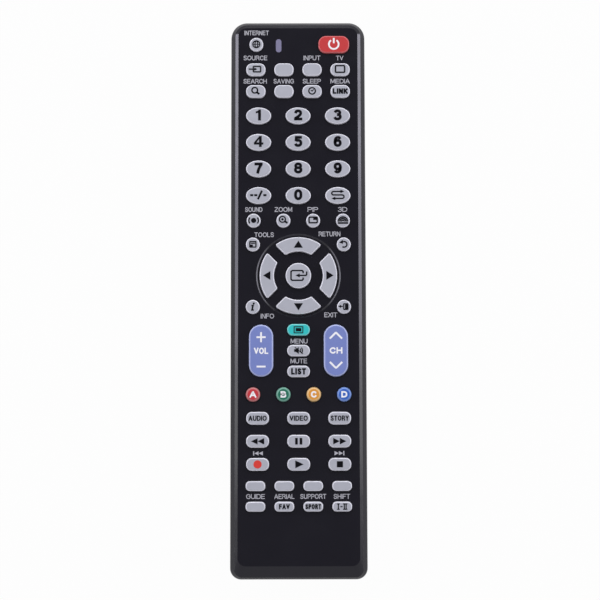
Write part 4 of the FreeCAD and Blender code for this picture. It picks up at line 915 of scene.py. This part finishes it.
@dataclass
class Electronics(DressedParts):
    """The board and what is soldered to it."""

    finishes: dict[str, Finish] = field(default_factory=lambda: {
        "circuit_board": GREEN_MASK, "controller_chip": CHIP_EPOXY, "resonator": CHIP_EPOXY,
        "resistors": CHIP_EPOXY, "driver_transistor": CHIP_EPOXY, "capacitor": DRAWN_CAN,
        "ir_led": CLEAR_EPOXY})


@dataclass
class BatteryBay:
    """The door, the contacts and the two cells."""

    cell_radius: float = 5.25
    cell_pitch: float = 11.0
    cell_length: float = 44.5
    cell_sides: int = 72
    nub_radius: float = 1.9
    nub_height: float = 1.0
    nub_round: float = 0.25
    crimp_inset: float = 1.1
    crimp_depth: float = 0.35
    rim_round: float = 0.5
    smooth_angle: float = 35.0
    end_facing: float = 0.9
    same_level: float = 0.01
    grip_reach: float = 16.0
    arrow_grip_gap: float = 3.2

    def cell(self, name: str, across: float, nub_end: float, way: int) -> None:
        """A cell: a cylinder whose ends are rounded, crimped and drawn up into the nub.

        Args:
            name: the piece's name.
            across: its axis, from the casing's middle, in metres.
            nub_end: where its nub ends along the casing, in metres.
            way: 1 if the nub points to the front end, -1 if it points to the rear.
        """
        def is_end(face: bpy.types.MeshPolygon) -> bool:
            """Whether a face lies across the cell."""
            return abs(face.normal.z) > self.end_facing

        can = self.cell_length - self.nub_height
        deselect()
        bpy.ops.mesh.primitive_cylinder_add(vertices=self.cell_sides, radius=self.cell_radius, depth=can,
                                            location=(0, 0, can / 2))
        piece = bpy.context.object
        bpy.ops.object.transform_apply(location=True)
        select_faces(piece, is_end)
        with edit_mode():
            bpy.ops.mesh.bevel(offset=self.rim_round, segments=4, affect="EDGES")
        for lift, height in ((0.0, 0.0), (can, self.nub_height)):
            select_faces(piece, lambda face, lift=lift: is_end(face)
                         and abs(face.center.z - lift) < self.same_level)
            with edit_mode():
                bpy.ops.mesh.inset(thickness=self.crimp_inset)
                bpy.ops.mesh.inset(thickness=self.crimp_depth, depth=-self.crimp_depth)
                if height:
                    bpy.ops.mesh.inset(thickness=self.cell_radius - self.rim_round - self.crimp_inset
                                       - self.crimp_depth - self.nub_radius)
                    bpy.ops.mesh.extrude_region_move(
                        TRANSFORM_OT_translate={"value": (0, 0, height + self.crimp_depth)})
                    bpy.ops.mesh.bevel(offset=self.nub_round, segments=3, affect="EDGES")
        axis = (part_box("battery_cells")[0].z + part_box("battery_cells")[1].z) / 2
        turn = Matrix.Rotation(-way * math.pi / 2, 4, "X")
        start = nub_end - way * self.cell_length * MM
        piece.data.transform(Matrix.Translation((across, start, axis)) @ turn @ Matrix.Scale(MM, 4))
        bpy.ops.object.shade_smooth_by_angle(angle=math.radians(self.smooth_angle))
        piece.name = piece.data.name = name
        piece.data.materials.append(CELL_FILM.make())
        piece.data.materials.append(CELL_END.make())
        for face in piece.data.polygons:
            off_axis = math.hypot(face.center.x - across, face.center.z - axis)
            face.material_index = int(off_axis < (self.cell_radius - self.crimp_inset) * MM)
        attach(piece, "casing")
        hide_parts("battery_cells")
        log.info("%s rides on casing", name)

    def arrow(self) -> None:
        """The arrow by the door's grip that shows which way it opens."""
        low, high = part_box("battery_door")
        along = high.y - (self.grip_reach + self.arrow_grip_gap) * MM
        print_sign("door_arrow", "door_arrow", Vector((0, along, low.z)), Ink.PALE, "battery_door",
                   facing_down=True)

    def build(self) -> None:
        """Makes the cells, dresses the contacts and the door, and prints the door's arrow."""
        dress("battery_door", GRAINED_BLACK)
        for node in ("plate_contact", "spring_contact", "bridge_contact"):
            dress(node, NICKEL_STEEL)
        low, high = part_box("battery_cells")
        half_pitch = self.cell_pitch * MM / 2
        self.cell("cell_left", -half_pitch, high.y, 1)
        self.cell("cell_right", half_pitch, low.y, -1)
        self.arrow()


@dataclass
class Softbox:
    """An area lamp: its place and size in metres, and the power that it gives in watts."""

    name: str
    place: tuple[float, float, float]
    size: tuple[float, float]
    power: float
    colour: str = "#ffffff"

    @classmethod
    def pair(cls, name: str, along: float, height: float, size: tuple[float, float], left: float,
             right: float, colour: str = "#ffffff") -> tuple["Softbox", "Softbox"]:
        """Two lamps a metre to the left and right, each with its own power."""
        return (cls(f"left_{name}", (-1.0, along, height), size, left, colour),
                cls(f"right_{name}", (1.0, along, height), size, right, colour))


@dataclass
class Studio:
    """The pale floor, the pale surroundings that darken overhead, the lamps and the camera.

    The camera's eye and target are in millimetres, and all else is in metres.
    """

    floor_size: float = 8.0
    floor_drop: float = 0.00002
    floor_roughness: float = 0.9
    floor_gloss: float = 0.1
    floor_glow: float = 0.97
    cut_out: tuple[float, float] = (0.036, 0.191)
    lamps: tuple[Softbox, ...] = (
        *Softbox.pair("softbox", 0.425, 0.36, (0.35, 0.28), 2.1, 2.1, "#f0eeff"),
        *Softbox.pair("fill", 0.15, 0.34, (0.2, 0.32), 0.8, 0.86, "#f0eeff"),
        *Softbox.pair("fade", -0.02, 0.34, (0.14, 0.32), 0.27, 0.27),
        *Softbox.pair("low", 0.0, 0.2, (0.6, 0.12), 0.5, 0.5),
        Softbox("front_low", (0.1, 1.0, 0.42), (0.8, 0.24), 1.5),
        Softbox("end_softbox", (0.0, 1.0, 0.95), (1.4, 0.5), 6.4))
    sky_colour: str = "#fbfaff"
    sky: tuple[tuple[float, float], ...] = ((0.0, 0.42), (0.25, 0.6), (0.5, 0.78), (0.82, 0.64), (0.95, 0.2),
                                            (1.0, 0.16))
    sky_lean: float = 7.0
    eye: tuple[float, float, float] = (-1.46, -59.28, 586.5)
    target: tuple[float, float, float] = (0.58, -1.76, 19.5)
    roll: float = -0.117
    focal_pixels: float = 1552.6
    frame_pixels: float = 600.0

    def floor(self) -> None:
        """A large sheet that the remote lies on, cut out under the flat of its back.

        With the cut-out and its clear underside, the back and the open door are lit and seen from below.
        """
        deselect()
        bpy.ops.mesh.primitive_plane_add(size=self.floor_size, location=(0, 0, -self.floor_drop))
        sheet = bpy.context.object
        wide, long = self.cut_out
        with edit_mode():
            bpy.ops.mesh.select_all(action="SELECT")
            bpy.ops.mesh.inset(thickness=(self.floor_size - wide) / 2)
            bpy.ops.transform.resize(value=(1, long / wide, 1))
            bpy.ops.mesh.delete(type="FACE")
        sheet.name = "floor"
        sheet.data.materials.append(self.paper())

    def paper(self) -> bpy.types.Material:
        """The floor's paper, which is clear where it is looked at from below."""
        material = bpy.data.materials.new("backdrop_paper")
        material.use_nodes = True
        tree = material.node_tree
        shader = tree.nodes["Principled BSDF"]
        shader.inputs["Base Color"].default_value = linear(PAPER)
        shader.inputs["Roughness"].default_value = self.floor_roughness
        shader.inputs["Specular IOR Level"].default_value = self.floor_gloss
        seen = add_node(tree, "ShaderNodeLightPath").outputs["Is Camera Ray"]
        share = reckon(tree, "MULTIPLY", seen, self.floor_glow)
        glow = add_node(tree, "ShaderNodeEmission", {"Color": (1, 1, 1, 1), "Strength": 1.0})
        mixed = add_node(tree, "ShaderNodeMixShader",
                         {0: share, 1: shader.outputs["BSDF"], 2: glow.outputs["Emission"]})
        below = add_node(tree, "ShaderNodeNewGeometry").outputs["Backfacing"]
        clear = add_node(tree, "ShaderNodeBsdfTransparent")
        sided = add_node(tree, "ShaderNodeMixShader",
                         {0: below, 1: mixed.outputs[0], 2: clear.outputs["BSDF"]})
        tree.links.new(sided.outputs[0], tree.nodes["Material Output"].inputs["Surface"])
        return material

    def surroundings(self) -> None:
        """Pale walls low down and a dark ceiling, so that the glossy face stays deep; white to the camera."""
        world = bpy.data.worlds.new("studio")
        bpy.context.scene.world = world
        world.use_nodes = True
        tree = world.node_tree
        way = add_node(tree, "ShaderNodeTexCoord").outputs["Generated"]
        lean = math.radians(self.sky_lean)
        height = reckon_vector(tree, "DOT_PRODUCT", way, (0, math.sin(lean), math.cos(lean)), gives="Value")
        ramp = add_node(tree, "ShaderNodeValToRGB", {0: height})
        stops = ramp.color_ramp.elements
        for place, _ in self.sky[1:-1]:
            stops.new(place)
        for stop, (place, light) in zip(stops, self.sky):
            stop.position = place
            stop.color = (*[light * part for part in linear(self.sky_colour)[:3]], 1)
        seen = add_node(tree, "ShaderNodeLightPath").outputs["Is Camera Ray"]
        shown = blend(tree, seen, ramp.outputs["Color"], (1, 1, 1, 1))
        tree.links.new(shown, tree.nodes["Background"].inputs["Color"])

    def light(self) -> None:
        """Hangs the softboxes, each turned to the remote."""
        for lamp in self.lamps:
            deselect()
            bpy.ops.object.light_add(type="AREA", location=lamp.place)
            box = bpy.context.object
            box.name = lamp.name
            box.rotation_euler = (-Vector(lamp.place)).to_track_quat("-Z", "Y").to_euler()
            box.data.shape = "RECTANGLE"
            box.data.size, box.data.size_y = lamp.size
            box.data.energy = lamp.power
            box.data.color = linear(lamp.colour)[:3]

    def camera(self) -> None:
        """Sets the camera where the photograph was taken from."""
        eye, target = Vector(self.eye) * MM, Vector(self.target) * MM
        ahead = (target - eye).normalized()
        right = ahead.cross(Vector((0, 1, 0))).normalized()
        stand = Matrix((right, right.cross(ahead), -ahead)).transposed()
        deselect()
        bpy.ops.object.camera_add()
        camera = bpy.context.object
        camera.matrix_world = (Matrix.Translation(eye) @ stand.to_4x4()
                               @ Matrix.Rotation(math.radians(self.roll), 4, "Z"))
        camera.data.lens = camera.data.sensor_width * self.focal_pixels / self.frame_pixels
        bpy.context.scene.camera = camera

    def build(self) -> None:
        """Sets the stage."""
        self.camera()
        self.floor()
        self.surroundings()
        self.light()
        bpy.context.scene.view_settings.view_transform = "Standard"


def main() -> None:
    """Builds the stage, then each sub-assembly in order."""
    logging.basicConfig(level=logging.INFO, format="%(name)s: %(message)s")
    for part in (Studio(), Casing(), Keypad(), Electronics(), BatteryBay(), FacePrint(), Legends()):
        part.build()
        log.info("%s is built", type(part).__name__)


if __name__ == "__main__":
    main()
